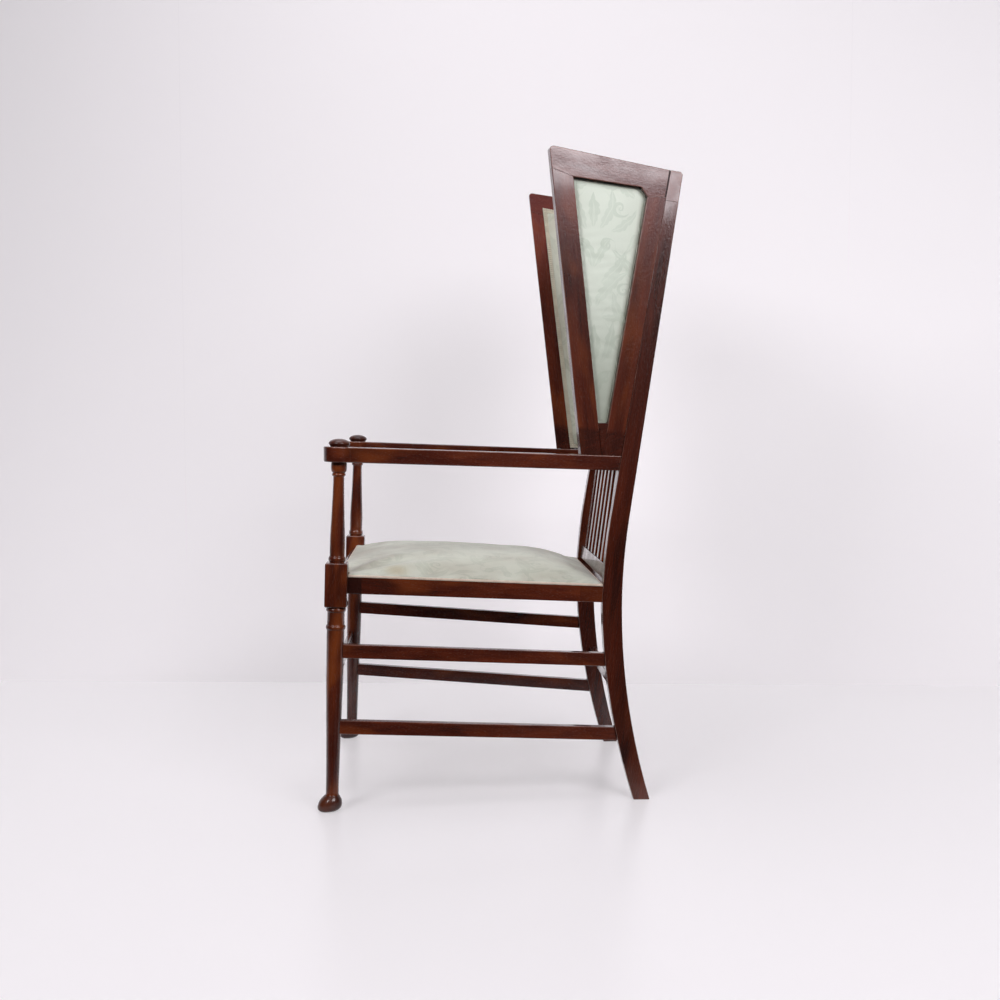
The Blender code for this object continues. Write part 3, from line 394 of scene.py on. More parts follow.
turning = {
    "blockMiddle": 0.4312, "lean": 0.028, "steps": 64,
    "footHeight": 0.031, "footRadius": 0.0201, "footAdvance": 0.0106,
    "foot": ((0, 0), (0, 0.55), (0.03, 0.67), (0.10, 0.82), (0.20, 0.93), (0.32, 0.985), (0.44, 1.0), (0.56, 0.985),
             (0.68, 0.945), (0.78, 0.875), (0.87, 0.79), (0.94, 0.71), (0.985, 0.655)),
    "legTo": 0.3897, "legRadius": 0.0187,
    "leg": ((0.002, 0.662), (0.012, 0.652), (0.045, 0.650), (0.10, 0.662), (0.27, 0.715), (0.45, 0.79),
            (0.62, 0.862), (0.76, 0.885), (0.876, 0.893)) + bead(0.8918, 0.0115, 0.90, 1.0) +
           ((0.907, 0.875), (0.93, 0.872), (0.96, 0.872), (0.971, 0.873)) + bead(0.984, 0.0105, 0.885, 0.995) +
           ((0.9965, 0.875), (1.02, 0.875)),
    "supportFrom": 0.4727, "supportTo": 0.6605, "supportRadius": 0.0164,
    "support": ((-0.04, 0.86), (0.006, 0.86)) + bead(0.036, 0.026, 0.87, 0.985) +
               ((0.066, 0.855), (0.12, 0.860), (0.24, 0.865), (0.44, 0.765), (0.64, 0.68), (0.80, 0.632),
                (0.856, 0.627)) + bead(0.878, 0.016, 0.64, 0.785) +
               ((0.897, 0.72), (0.906, 0.81), (0.918, 0.872), (0.94, 0.905), (0.965, 0.908), (0.985, 0.895),
                (1.0, 0.86)),
    "pegRadius": 0.0100, "pegTop": 0.6890,
    "block": 0.042, "blockHeight": 0.083, "blockEase": 0.0030,
    "capRadius": 0.0200, "capHeight": 0.0150, "capTilt": 0.035,
    "cap": ((0, 0.84), (0.08, 0.85), (0.13, 0.865), (0.18, 0.905), (0.26, 0.965), (0.36, 0.997), (0.44, 1.0),
            (0.54, 0.975), (0.64, 0.915), (0.74, 0.82), (0.83, 0.69), (0.90, 0.55), (0.95, 0.40),
            (0.985, 0.22), (1.0, 0)),
    "spigotRadius": 0.005, "spigotLength": 0.012,
    "heelHold": 0.8, "postWarmth": 1.0, "footShade": (0.6, 0.4), "capWarmth": 0.2, "capShade": (0.45, 0.45),
}


def postAxis(side, height):
    low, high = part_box("arm_cap_" + side)                   # the cap is round, so its box is centred on the axis
    middle = (low + high) / 2
    return Vector((middle.x, middle.y + turning["lean"] * (height - middle.z), height))


def spun(name, profile, steps):
    mesh = bpy.data.meshes.new(name)
    mesh.from_pydata([(radius, 0, height) for radius, height in profile],
                     [(index, index + 1) for index in range(len(profile) - 1)], [])
    piece = newPiece(name, mesh)
    startEditing(piece)
    bpy.ops.mesh.spin(steps=steps, angle=math.tau, center=(0, 0, 0), axis=(0, 0, 1))
    bpy.ops.mesh.select_all(action="SELECT")
    bpy.ops.mesh.remove_doubles(threshold=0.00001)
    bpy.ops.mesh.normals_make_consistent(inside=False)
    stopEditing()
    smoothed(piece, 50)
    return piece


def shareProfile(shares, start, end, radius):
    return [(radius * wide, start + (end - start) * high) for high, wide in shares]


def makeFrontPost(side, seed):
    look = turning
    profile = shareProfile(look["foot"], 0, look["footHeight"], look["footRadius"])
    profile += shareProfile(look["leg"], look["footHeight"], look["legTo"], look["legRadius"])
    profile += shareProfile(look["support"], look["supportFrom"], look["supportTo"], look["supportRadius"])
    profile += [(look["pegRadius"], look["supportTo"]), (look["pegRadius"], look["pegTop"]), (0, look["pegTop"])]
    post = spun("FrontPost" + side.title(), profile, look["steps"])
    bpy.ops.object.select_all(action="DESELECT")
    bpy.ops.mesh.primitive_cube_add(size=1, location=(0, 0, look["blockMiddle"]))
    block = lastAdded("block")
    block.scale = (look["block"], look["block"], look["blockHeight"])
    bpy.context.view_layer.update()
    settle(block)
    startEditing(block, "EDGE")
    bpy.ops.mesh.bevel(offset=look["blockEase"], segments=4, affect="EDGES")
    stopEditing()
    union = post.modifiers.new("block", "BOOLEAN")
    union.operation = "UNION"
    union.solver = "EXACT"
    union.object = block
    applyModifiers(post)
    bpy.data.objects.remove(block)
    lean = Matrix.Rotation(-math.atan(look["lean"]), 4, "X")
    middle = Vector((0, 0, look["blockMiddle"]))
    place = postAxis(side, look["blockMiddle"]) - middle
    for vertex in post.data.vertices:
        height = vertex.co.z
        spot = middle + lean @ (vertex.co - middle)
        if height < look["footHeight"]:                     # the pad foot lies flat and steps forward
            share = height / look["footHeight"]
            spot.z = height + (spot.z - height) * share
            heel = max(0, vertex.co.y) / look["footRadius"]
            spot.y -= look["footAdvance"] * (1 - share) * (1 - look["heelHold"] * heel)
        vertex.co = spot + place
    smoothed(post, 40)
    foot = ((0, 0, 1), -9, look["footHeight"], *look["footShade"])
    post.data.materials.append(mahogany(f"front_post_{side}_mahogany", (0, look["lean"], 1), seed,
                                        look["postWarmth"], (foot,)))
    return keep(post, "front_post_" + side)


def makeCap(side, seed):
    look = turning
    profile = [(0, -look["spigotLength"]), (look["spigotRadius"], -look["spigotLength"]), (look["spigotRadius"], 0)]
    profile += shareProfile(look["cap"], 0, look["capHeight"], look["capRadius"])
    cap = spun("ArmCap" + side.title(), profile, look["steps"])
    place = postAxis(side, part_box("arm_cap_" + side)[0].z + look["spigotLength"])
    cap.data.transform(Matrix.Translation(place) @ Matrix.Rotation(-look["capTilt"], 4, "X"))
    whole = ((0, 1, 0), -9, 9, *look["capShade"])
    cap.data.materials.append(mahogany(f"arm_cap_{side}_mahogany", (1, 0, 0), seed, look["capWarmth"], (whole,)))
    return keep(cap, "arm_cap_" + side)


for side in sides:
    makeFrontPost(side, seed + 20 + sides[side])
    makeCap(side, seed + 30 + sides[side])
print("front posts and caps turned")


# Damask: an own pattern of palmettes, curling leaves and spirals, mirrored in each tile and half dropped.
# Leaves are (across, up, degrees, length, half width, bend, teeth), spirals (across, up, radius, turn), in metres.
damaskLook = {
    "ground": (0.770, 0.840, 0.725), "figure": (0.560, 0.650, 0.535), "soilAndShade": (0.385, 0.360, 0.285),
    "soilAndShadeFigure": (0.265, 0.262, 0.195), "size": 1.22,
    "tile": (0.146, 0.205), "warp": 0.0070, "warpScale": 24.0, "soft": 0.0009, "figureShare": 0.62,
    "roughness": 0.52, "figureRoughness": 0.40, "sheen": 0.25, "weave": 0.0009, "weaveDepth": 0.00012,
    "teeth": (15.0, 260.0), "veinFrom": 0.0003, "veinTo": 0.0011, "slub": (0.0016, 0.0016, 0.03), "slubShare": 0.25,
    "leaves": ((0.004, -0.010, 72, 0.070, 0.0105, -0.030, 0.32), (0.010, 0.028, 22, 0.060, 0.0098, 0.034, 0.32),
               (0.066, -0.046, 150, 0.066, 0.0110, -0.034, 0.32), (0.071, 0.018, 102, 0.070, 0.0090, 0.030, 0.26),
               (0.001, 0.052, 82, 0.048, 0.0085, -0.018, 0.26), (0.000, -0.092, 84, 0.060, 0.0092, 0.010, 0.26),
               (0.010, -0.094, 50, 0.060, 0.0092, 0.026, 0.26), (0.028, -0.098, 14, 0.050, 0.0080, 0.026, 0.26),
               (0.050, 0.076, 36, 0.046, 0.0074, 0.024, 0.26), (0.012, -0.024, -18, 0.048, 0.0085, 0.026, 0.26),
               (0.000, -0.030, 30, 0.078, 0.0018, 0.035, 0.0), (0.073, 0.000, 128, 0.084, 0.0018, -0.030, 0.0),
               (0.030, 0.026, 74, 0.074, 0.0017, 0.022, 0.0), (0.050, -0.100, 100, 0.080, 0.0018, 0.026, 0.0)),
    "spirals": ((0.049, 0.016, 0.0145, 1), (0.041, -0.062, 0.0165, -1), (0.020, 0.086, 0.0125, 1)),
}


def damaskLeaf(finish, u, v, shape):
    across, up, degrees, length, width, bend, teeth = shape
    turn = math.radians(degrees)
    along = ((u - across) * math.cos(turn) + (v - up) * math.sin(turn)) / length
    side = (v - up) * math.cos(turn) - (u - across) * math.sin(turn) - along * along * bend
    profile = finish.math("SINE", finish.math("MINIMUM", finish.math("MAXIMUM", along, 0.0), 1.0) * math.pi) ** 0.7
    if teeth:
        wave = along * damaskLook["teeth"][0] + finish.math("ABSOLUTE", side) * damaskLook["teeth"][1]
        cut = finish.math("ABSOLUTE", finish.math("SINE", wave))
        profile = profile * (cut * teeth + (1 - teeth))
    reach = finish.math("ABSOLUTE", side)
    vein = finish.step(reach, damaskLook["veinFrom"], damaskLook["veinTo"])
    inside = finish.step(profile * width - reach, 0.0, damaskLook["soft"])
    return inside * (vein * 0.7 + 0.3) * (along * 0.4 + 0.6)


def damaskSpiral(finish, u, v, shape):
    across, up, radius, turn = shape
    x = u - across
    y = v - up
    reach = (x * x + y * y) ** 0.5
    angle = finish.math("ARCTAN2", y, x) * turn
    wave = finish.math("SINE", finish.math("LOGARITHM", reach / radius + 0.04, math.e) * 4.2 + angle)
    return finish.step(wave, 0.15, 0.45) * (1 - finish.step(reach, radius - 0.0015, radius))


def damask(name, across, up, shift=(0, 0), soilAndShade=0.25, stain=None, shade=None):
    look = damaskLook
    finish = Finish(name, Sheen_Weight=look["sheen"], Sheen_Roughness=0.45, IOR=1.45)

    def scaled(size):
        return finish.node("Mapping", {}, {"Vector": finish.place(), "Scale": (size, size, size)})

    ripple = finish.noise(scaled(look["warpScale"]), 2.0) - 0.5
    ripple2 = finish.noise(finish.vector("ADD", scaled(look["warpScale"]), (7.3, 2.1, 5.9)), 2.0) - 0.5
    u = (finish.along(across) / look["size"] + shift[0] + ripple * look["warp"] * 2) / look["tile"][0]
    v = (finish.along(up) / look["size"] + shift[1] + ripple2 * look["warp"] * 2) / look["tile"][1]
    v = v + finish.math("FLOOR", u) * 0.5
    u = finish.math("ABSOLUTE", finish.math("FRACT", u) - 0.5) * look["tile"][0]
    v = (finish.math("FRACT", v) - 0.5) * look["tile"][1]
    drawn = damaskLeaf(finish, u, v, look["leaves"][0])
    for shape in look["leaves"][1:]:
        drawn = finish.math("MAXIMUM", drawn, damaskLeaf(finish, u, v, shape))
    for shape in look["spirals"]:
        drawn = finish.math("MAXIMUM", drawn, damaskSpiral(finish, u, v, shape))
    clouds = finish.noise(scaled(9.0), 3.0)
    slub = finish.noise(finish.node("Mapping", {"vector_type": "TEXTURE"},
                                    {"Vector": finish.place(), "Scale": look["slub"]}), 2.0) - 0.5
    figure = drawn * (finish.step(clouds, 0.25, 0.60) * 0.5 + 0.5) * look["figureShare"]
    # darker in cloudy patches: soiling, and on the inside wing pads painted shade as well
    soilAndShadeShare = (finish.step(clouds, 0.35, 0.80) * 0.45 + 0.5) * soilAndShade
    pattern = finish.math("MAXIMUM", figure + slub * look["slubShare"], 0.0)
    colour = finish.mix(pattern, finish.mix(soilAndShadeShare, look["ground"], look["soilAndShade"]),
                        finish.mix(soilAndShadeShare, look["figure"], look["soilAndShadeFigure"]))
    if shade:                                               # painted shade and soiling toward the narrow foot, and a painted shadow under the frame's top and rear edges
        low = 1 - finish.step(finish.along((0, 0, 1)), shade["from"], shade["to"])
        colour = finish.mix(low * shade["share"], colour, shade["colour"])
        rim = finish.node("Attribute", {"attribute_name": "underRim"}, {}, "Fac")
        colour = finish.mix(rim * shade["rim"], colour, shade["colour"])
    if stain:
        spot = finish.vector("DISTANCE", finish.place(), stain["centre"], out=1) + (clouds - 0.5) * stain["ragged"]
        soaked = (1 - finish.step(spot, stain["inner"], stain["outer"])) * stain["share"]
        colour = finish.mix(soaked, colour, stain["colour"])
    finish.plug(finish.shader.inputs["Base Color"], colour)
    gloss = look["figureRoughness"] - look["roughness"]
    finish.plug(finish.shader.inputs["Roughness"], look["roughness"] + figure * gloss)
    threads = math.tau / look["weave"]
    weave = finish.math("SINE", finish.along(across) * threads) * finish.math("SINE", finish.along(up) * threads)
    finish.bump(weave * 0.4 + figure * 0.8 + clouds * 1.2, 0.30, look["weaveDepth"])
    return finish.material


# Stuffed pads: a copy of the solid, swelled by the cloth solver with its tacked edge held.
# "rim" is how far in from the edge the tacks hold, "cap" how far the filling may push the cover, "sunk" how far
# below the solid the slack cover starts, and "spread" how far it is drawn out under its gimp.
padLook = {"quality": 5, "mass": 0.25, "stretch": 12, "shear": 6, "bend": 0.4, "shrink": -0.004, "frames": 14}
# painted shade: the inside wing pads take a heavy share of the darker soiled colour, for the shade on the wings'
# inner faces
insideWing = {"voxel": 0.0040, "pressure": 2.0, "cap": 0.0025, "rim": 0.006, "spread": 0.0024, "across": (0, 1, 0),
              "up": (0, 0, 1), "soilAndShade": 1.2, "fill": 0.6, "shift": (0.02, 0.03)}
outsideWing = {"voxel": 0.0040, "pressure": 6.0, "cap": 0.0050, "rim": 0.004, "sunk": 0.0045, "across": (0, 1, 0),
               "up": (0, 0, 1), "soilAndShade": 0.04, "fill": 0.4, "shift": (0.073, 0.030),
               "shade": {"from": 0.72, "to": 1.05, "share": 0.74, "colour": (0.24, 0.265, 0.205), "rim": 0.85}}
pads = {
    "seat_pad": {"voxel": 0.0052, "pressure": 3.0, "cap": 0.0010, "outward": (0, 0, 1), "rim": 0.010,
                 "spread": 0.0014, "across": (0.4, 1, 0), "up": (1, -0.4, 0), "soilAndShade": 1.0, "fill": 0.7,
                 "folds": True,
                 "stain": {"centre": (0.262, -0.195, 0.463), "inner": 0.002, "outer": 0.034, "ragged": 0.03,
                           "share": 0.55, "colour": (0.36, 0.26, 0.12)}},
    "back_pad": {"voxel": 0.0055, "pressure": 2.5, "cap": 0.005, "outward": (0, -1, backRake), "rim": 0.008,
                 "spread": 0.0020, "across": (1, 0, 0), "up": (0, backRake, 1), "soilAndShade": 0.3, "fill": 0.6},
    "wing_inner_pad_left": dict(insideWing, outward=(-1, -wingSplay, wingTilt)),
    "wing_inner_pad_right": dict(insideWing, outward=(1, -wingSplay, wingTilt)),
    "wing_outer_panel_left": dict(outsideWing, outward=(1, wingSplay, -wingTilt)),
    "wing_outer_panel_right": dict(outsideWing, outward=(-1, wingSplay, -wingTilt)),
    "back_outer_panel": {"voxel": 0.0040, "pressure": 1.0, "cap": 0.0012, "outward": (0, 1, -backRake), "rim": 0.008,
                         "across": (1, 0, 0), "up": (0, backRake, 1), "soilAndShade": 0.3, "fill": 0.3},
}
seatFolds = {"above": 0.44, "corner": (0.300, -0.300), "reach": 0.26, "height": 0.0030, "fan": 12.0, "start": 0.4,
             "plump": 0.0045, "plumpAt": 0.105, "plumpReach": (0.26, 0.095)}


def edgeFaces(piece, outward):
    mesh = piece.data
    faces = [tuple(face.vertices) for face in mesh.polygons if abs(face.normal.dot(outward)) < 0.5]
    return BVHTree.FromPolygons([vertex.co for vertex in mesh.vertices], faces)


# How firmly each vertex is tacked: 1 along the edge and behind, 0 over the filling
def holdEdge(piece, look, edges, outward):
    held = piece.vertex_groups.new(name="tacked")
    free = piece.vertex_groups.new(name="free")
    shadows = []
    for vertex in piece.data.vertices:
        spot, normal, face, away = edges.find_nearest(vertex.co)
        # painted shadow: vertices near an edge that lies above or behind them get a shadow share, kept as underRim
        toward = (spot - vertex.co).normalized().dot(Vector((0, 0.8, 0.6)))
        shadows.append(max(0, 1 - away / 0.011) * max(0, min(1, toward * 3)))
        share = max(0, 1 - max(0, away - look["voxel"]) / look["rim"])
        if vertex.normal.dot(outward) < 0.2:
            share = 1
        if share > 0:
            held.add([vertex.index], share, "REPLACE")
        free.add([vertex.index], 1 - share, "REPLACE")
    rim = piece.data.attributes.new("underRim", "FLOAT", "POINT")
    rim.data.foreach_set("value", shadows)


def swell(piece, look):
    starts = [vertex.co.copy() for vertex in piece.data.vertices]
    cloth = piece.modifiers.new("filling", "CLOTH")
    settings = cloth.settings
    settings.quality = padLook["quality"]
    settings.mass = padLook["mass"]
    settings.tension_stiffness = padLook["stretch"]
    settings.compression_stiffness = padLook["stretch"]
    settings.shear_stiffness = padLook["shear"]
    settings.bending_stiffness = padLook["bend"]
    settings.use_pressure = True
    settings.uniform_pressure_force = look["pressure"]
    settings.shrink_min = padLook["shrink"]
    settings.vertex_group_mass = "tacked"
    settings.effector_weights.gravity = 0
    cloth.point_cache.frame_start = 1
    cloth.point_cache.frame_end = padLook["frames"]
    for step in range(1, padLook["frames"] + 1):
        bpy.context.scene.frame_set(step)
    applyModifiers(piece)
    bpy.context.scene.frame_set(1)
    for vertex, start in zip(piece.data.vertices, starts):
        move = vertex.co - start
        if move.length > look["cap"]:
            vertex.co = start + move * (look["cap"] / move.length)


# The stuffing stands fuller toward the rear, and soft drag lines fan out from both front corners
def foldSeat(piece):
    look = seatFolds
    for vertex in piece.data.vertices:
        wide = 1 - min(1, abs(vertex.co.x) / look["plumpReach"][0]) ** 3
        deep = 1 - min(1, abs(vertex.co.y - look["plumpAt"]) / look["plumpReach"][1]) ** 2
        if vertex.co.z > look["above"]:
            vertex.co.z += look["plump"] * wide * deep * deep
        for side in sides.values():
            x = look["corner"][0] - vertex.co.x * side
            y = vertex.co.y - look["corner"][1]
            reach = math.hypot(x, y)
            if 0 < reach < look["reach"] and x > 0 and y > 0:
                angle = math.atan2(x, y)
                fade = math.sin(math.pi * min(1, reach / look["reach"])) ** 1.5
                vertex.co.z += look["height"] * fade * math.sin(angle * look["fan"] + look["start"] + reach * 9)


wingTuck = {"top": 0.0028, "bottom": 0.0065, "drop": -0.0034}   # the cover stops short of the front edge


# Draws the front corners of an inner wing piece back, and its foot down to the arm, in the wing's plane
def tuckIn(points, sign):
    middle = sum(point.z for point in points) / len(points)
    for name in ("top", "bottom"):
        group = [point for point in points if (point.z > middle) == (name == "top")]
        centre = (min(point.y for point in group) + max(point.y for point in group)) / 2
        for point in group:
            back = wingTuck[name] if point.y < centre else 0
            down = wingTuck["drop"] if name == "bottom" else 0
            point += Vector((-sign * (wingSplay * back - wingTilt * down), back, down))


def makePad(node, look):
    piece = copyOfNode(node, node.replace("_", " ").title().replace(" ", "") + "Cover")
    outward = Vector(look["outward"]).normalized()
    if "wing_inner" in node:
        tuckIn([vertex.co for vertex in piece.data.vertices], -look["outward"][0])
    back = min(vertex.co.dot(outward) for vertex in piece.data.vertices)
    edges = edgeFaces(piece, outward)
    if look.get("spread"):
        startEditing(piece)
        bpy.ops.transform.shrink_fatten(value=look["spread"])
        stopEditing()
    ahead = [face for face in piece.data.polygons if face.normal.dot(outward) > 0.7]
    widest = max(ahead, key=lambda face: face.area).normal.copy()
    flat = widest.rotation_difference(Vector((0, 0, 1))).to_matrix().to_4x4()
    piece.data.transform(flat)                              # the voxels lie along the face, so it stays even
    remesh = piece.modifiers.new("voxels", "REMESH")
    remesh.mode = "VOXEL"
    remesh.voxel_size = look["voxel"]
    applyModifiers(piece)
    piece.data.transform(flat.inverted())
    facing = [vertex.normal.dot(outward) for vertex in piece.data.vertices]
    for vertex, ahead in zip(piece.data.vertices, facing):
        depth = vertex.co.dot(outward) - back
        if depth < 0:                                       # nothing bulges into the board behind
            vertex.co -= outward * depth
        elif ahead > 0.5:
            vertex.co -= outward * (look.get("sunk", 0) + look.get("spread", 0))
    holdEdge(piece, look, edges, outward)
    swell(piece, look)
    relax = piece.modifiers.new("relax", "SMOOTH")
    relax.factor = 0.5
    relax.iterations = 4
    relax.vertex_group = "free"
    applyModifiers(piece)
    piece.vertex_groups.clear()
    if look.get("folds"):
        foldSeat(piece)
    smoothed(piece, 60)
    piece.data.materials.append(damask(node + "_damask", look["across"], look["up"], look.get("shift", (0, 0)),
                                       look["soilAndShade"], look.get("stain"), look.get("shade")))
    keep(piece, node)
    print("upholstered", node, len(piece.data.vertices))


for node, look in pads.items():
    makePad(node, look)


# Gimp: a ribbed braid between two cords, laid along each run of a ring and mitred at its corners
gimpLook = {"slant": 14, "cord": 0.0006, "cordIn": 0.0016, "overlap": 0.008, "rib": 0.66, "ribHeight": 0.84,
            "ribEase": 0.24, "base": 0.30, "baseWidth": 0.9}
flatThread = {"thread": (0.60, 0.56, 0.45), "shade": (0.36, 0.33, 0.24)}
seatThread = {"thread": (0.84, 0.73, 0.61), "shade": (0.56, 0.42, 0.32)}


def gimpFinish(name, look):
    finish = Finish(name, Roughness=0.75, Sheen_Weight=0.2, IOR=1.4)
    clouds = finish.noise(finish.node("Mapping", {}, {"Vector": finish.place(), "Scale": (60, 60, 60)}), 2.0)
    fibre = finish.noise(finish.node("Mapping", {}, {"Vector": finish.place(), "Scale": (1800, 1800, 1800)}), 1.0)
    colour = finish.mix(finish.step(clouds, 0.35, 0.75) * 0.4 + fibre * 0.2, look["thread"], look["shade"])
    finish.plug(finish.shader.inputs["Base Color"], colour)
    finish.bump(fibre, 0.4, 0.0001)
    return finish.material


# One run along +X from 0, its back on the plane z = 0
def gimpRun(length, width, thickness, pitch, cords):
    look = gimpLook
    first = -look["overlap"]
    count = round((length + 2 * look["overlap"]) / pitch)
    bpy.ops.object.select_all(action="DESELECT")
    bpy.ops.mesh.primitive_cube_add(size=1, location=(first + pitch / 2, 0, thickness * look["ribHeight"] / 2),
                                    scale=(pitch * look["rib"], width, thickness * look["ribHeight"]))
    rib = lastAdded("rib")
    settle(rib)
    startEditing(rib, "EDGE")
    bpy.ops.mesh.bevel(offset=pitch * look["ribEase"], segments=2, affect="EDGES")
    bpy.ops.mesh.select_all(action="SELECT")
    bpy.ops.transform.rotate(value=math.radians(look["slant"]), orient_axis="Z",
                             center_override=(first + pitch / 2, 0, 0))
    stopEditing()
    repeat = rib.modifiers.new("ribs", "ARRAY")
    repeat.use_relative_offset = False
    repeat.use_constant_offset = True
    repeat.constant_offset_displace = (pitch, 0, 0)
    repeat.count = count
    applyModifiers(rib)
    bpy.ops.object.select_all(action="DESELECT")
    bpy.ops.mesh.primitive_cube_add(size=1, location=(length / 2, 0, thickness * look["base"] / 2),
                                    scale=(length + 2 * look["overlap"], width * look["baseWidth"],
                                           thickness * look["base"]))
    parts = [rib, settle(lastAdded("tape"))]
    for edge in cords:
        bpy.ops.object.select_all(action="DESELECT")
        bpy.ops.mesh.primitive_cylinder_add(vertices=8, radius=look["cord"], depth=length + 2 * look["overlap"],
                                            location=(length / 2, edge * (width / 2 - look["cordIn"]),
                                                      thickness - look["cord"]), rotation=(0, math.pi / 2, 0))
        parts.append(settle(lastAdded("cord")))
    return joined("run", parts)


def mitred(run, point, normal):
    startEditing(run)
    bpy.ops.mesh.bisect(plane_co=point, plane_no=normal, clear_outer=True, use_fill=True)
    stopEditing()


def makeGimp(node, corners, faceOf, width, thickness, pitch, cords):
    runs = []
    count = len(corners)
    for index, start in enumerate(corners):
        end = corners[(index + 1) % count]
        before = (start - corners[index - 1]).normalized()
        along = (end - start).normalized()
        after = (corners[(index + 2) % count] - end).normalized()
        face = faceOf(along)
        face = (face - along * face.dot(along)).normalized()
        run = gimpRun((end - start).length, width, thickness, pitch, cords)
        axes = Matrix((along, face.cross(along), face)).transposed().to_4x4()
        run.data.transform(Matrix.Translation(start) @ axes)
        mitred(run, end, (along + after).normalized())
        mitred(run, start, -(along + before).normalized())
        runs.append(run)
    piece = joined(node.replace("_", " ").title().replace(" ", "") + "Braid", runs)
    smoothed(piece, 60)
    piece.data.materials.append(gimpFinish(node + "_thread", seatThread if node == "seat_gimp" else flatThread))
    return keep(piece, node)


# Middles of a flat four-cornered ring's corners, on its back, read from the solid
def ringCorners(node, face):
    points = []
    for vertex in nodes[node].data.vertices:
        if all((vertex.co - point).length > 0.0002 for point in points):
            points.append(vertex.co.copy())
    back = min(point.dot(face) for point in points)
    points = [point for point in points if point.dot(face) < back + 0.0008]
    centre = sum(points, Vector()) / len(points)
    inner = sorted(points, key=lambda point: (point - centre).length)
    first = (inner[-1] - centre).normalized()
    second = face.cross(first)
    order = lambda point: math.atan2((point - centre).dot(second), (point - centre).dot(first)) % (math.tau - 0.01)
    corners = []
    for point in points:
        nearest = min((other for other in points if other is not point), key=lambda other: (other - point).length)
        middle = (point + nearest) / 2
        if all((middle - corner).length > 0.0002 for corner in corners):
            corners.append(middle)
    return sorted(corners, key=order)


flatGimp = {"width": 0.0104, "thickness": 0.0024, "pitch": 0.0046, "cords": (-1, 1)}
seatGimp = {"height": 0.0048, "thickness": 0.0025, "pitch": 0.0046, "fall": 0.0555, "taper": 0.1065, "gap": 0.0003}
for side, sign in sides.items():
    face = Vector((-sign, -wingSplay, wingTilt)).normalized()
    corners = ringCorners("wing_inner_gimp_" + side, face)
    tuckIn(corners, sign)
    makeGimp("wing_inner_gimp_" + side, corners, lambda along: face, *flatGimp.values())
backFace = Vector((0, -1, backRake)).normalized()
makeGimp("back_gimp", ringCorners("back_gimp", backFace), lambda along: backFace, *flatGimp.values())
look = seatGimp
low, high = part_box("seat_gimp")
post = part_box("front_post_left")
inset = look["thickness"]
notchX = post[0].x - look["gap"] - inset
notchY = post[1].y + look["gap"] + inset
frontX = high.x - inset
plan = [(notchX, low.y + inset), (notchX, notchY), (frontX, notchY),
        (frontX - look["taper"] * (high.y - inset - notchY), high.y - inset)]
plan += [(-x, y) for x, y in reversed(plan)]
seatRing = [Vector((x, y, low.z + look["fall"] * (high.y - y) + look["height"] / 2)) for x, y in plan]
makeGimp("seat_gimp", seatRing, lambda along: along.cross(Vector((0, 0, 1))), look["height"], look["thickness"],
         look["pitch"], ())
print("gimp laid")


# Webbing under the seat
def jute(name):
    finish = Finish(name, Roughness=0.9, IOR=1.4)
    sine = lambda value: finish.math("SINE", value)
    warp = sine(finish.along((1, 0, 0)) * 2400.0) * sine(finish.along((0, 1, 0)) * 2400.0)
    stripe = finish.step(sine(finish.along((0, 1, 0)) * 260.0), 0.86, 0.93)
    colour = finish.mix(warp * 0.35 + 0.4, (0.20, 0.13, 0.065), (0.42, 0.31, 0.17))
    colour = finish.mix(stripe * 0.5, colour, (0.13, 0.035, 0.02))
    finish.plug(finish.shader.inputs["Base Color"], colour)
    finish.bump(warp, 0.6, 0.0004)
    return finish.material


webbing = nodes["seat_webbing"]
webbing.data.materials.clear()
webbing.data.materials.append(jute("seat_webbing_jute"))


# Room, lights and camera. The room's pale colour shows to the camera and in polish, and adds no light.
room = {
    "floor": (0.50, 0.485, 0.497), "floorGlow": 0.75, "wall": (0.485, 0.469, 0.480),
    "wallLit": (0.720, 0.696, 0.713), "wallGlow": 0.50, "wallFall": (0, 0.21, -0.50), "wallLevel": 1.22,
    "dark": (0.02, 0.02, 0.02), "darkFrom": 0.20, "darkTo": 0.55, "floorRough": 0.30, "wallRough": 0.6,
    "corner": (-0.8967, 0.0), "turn": 4.17, "skirting": 0.188, "skirtingDepth": 0.002, "reach": 9.0,
    "seams": (-0.825, 1.008), "seamWidth": 0.003, "seam": (0.475, 0.459, 0.470), "seamLit": (0.705, 0.681, 0.698),
}


def roomFinish(name, colour, lit, glow, roughness, isFloor=False):
    finish = Finish(name, Roughness=roughness, IOR=1.3, Emission_Strength=1.0)
    direct, glossy, through = [finish.node("LightPath", {}, {}, kind + " Ray")
                               for kind in ("Is Camera", "Is Glossy", "Is Transmission")]
    seen = finish.math("MINIMUM", direct + glossy + through, 1.0)
    fall = finish.along(room["wallFall"]) + room["wallLevel"]
    fall = finish.math("MAXIMUM", finish.math("MINIMUM", fall, 1.0), 0.0)
    shown = finish.mix(fall, colour, lit)                   # the studio light falls off upward and to the left
    if isFloor:                                             # behind the camera the studio floor is dark
        beyond = finish.step(finish.along((1, 0, 0)), room["darkFrom"], room["darkTo"]) * (1 - direct)
        shown = finish.mix(beyond, colour, room["dark"])
    finish.plug(finish.shader.inputs["Base Color"], shown)
    finish.plug(finish.shader.inputs["Emission Color"], finish.mix(seen * glow, (0, 0, 0), shown))
    if not isFloor:                                         # the back of the wall never stands before the chair
        finish.plug(finish.shader.inputs["Alpha"], 1 - finish.node("NewGeometry", {}, {}, "Backfacing"))
    return finish.material


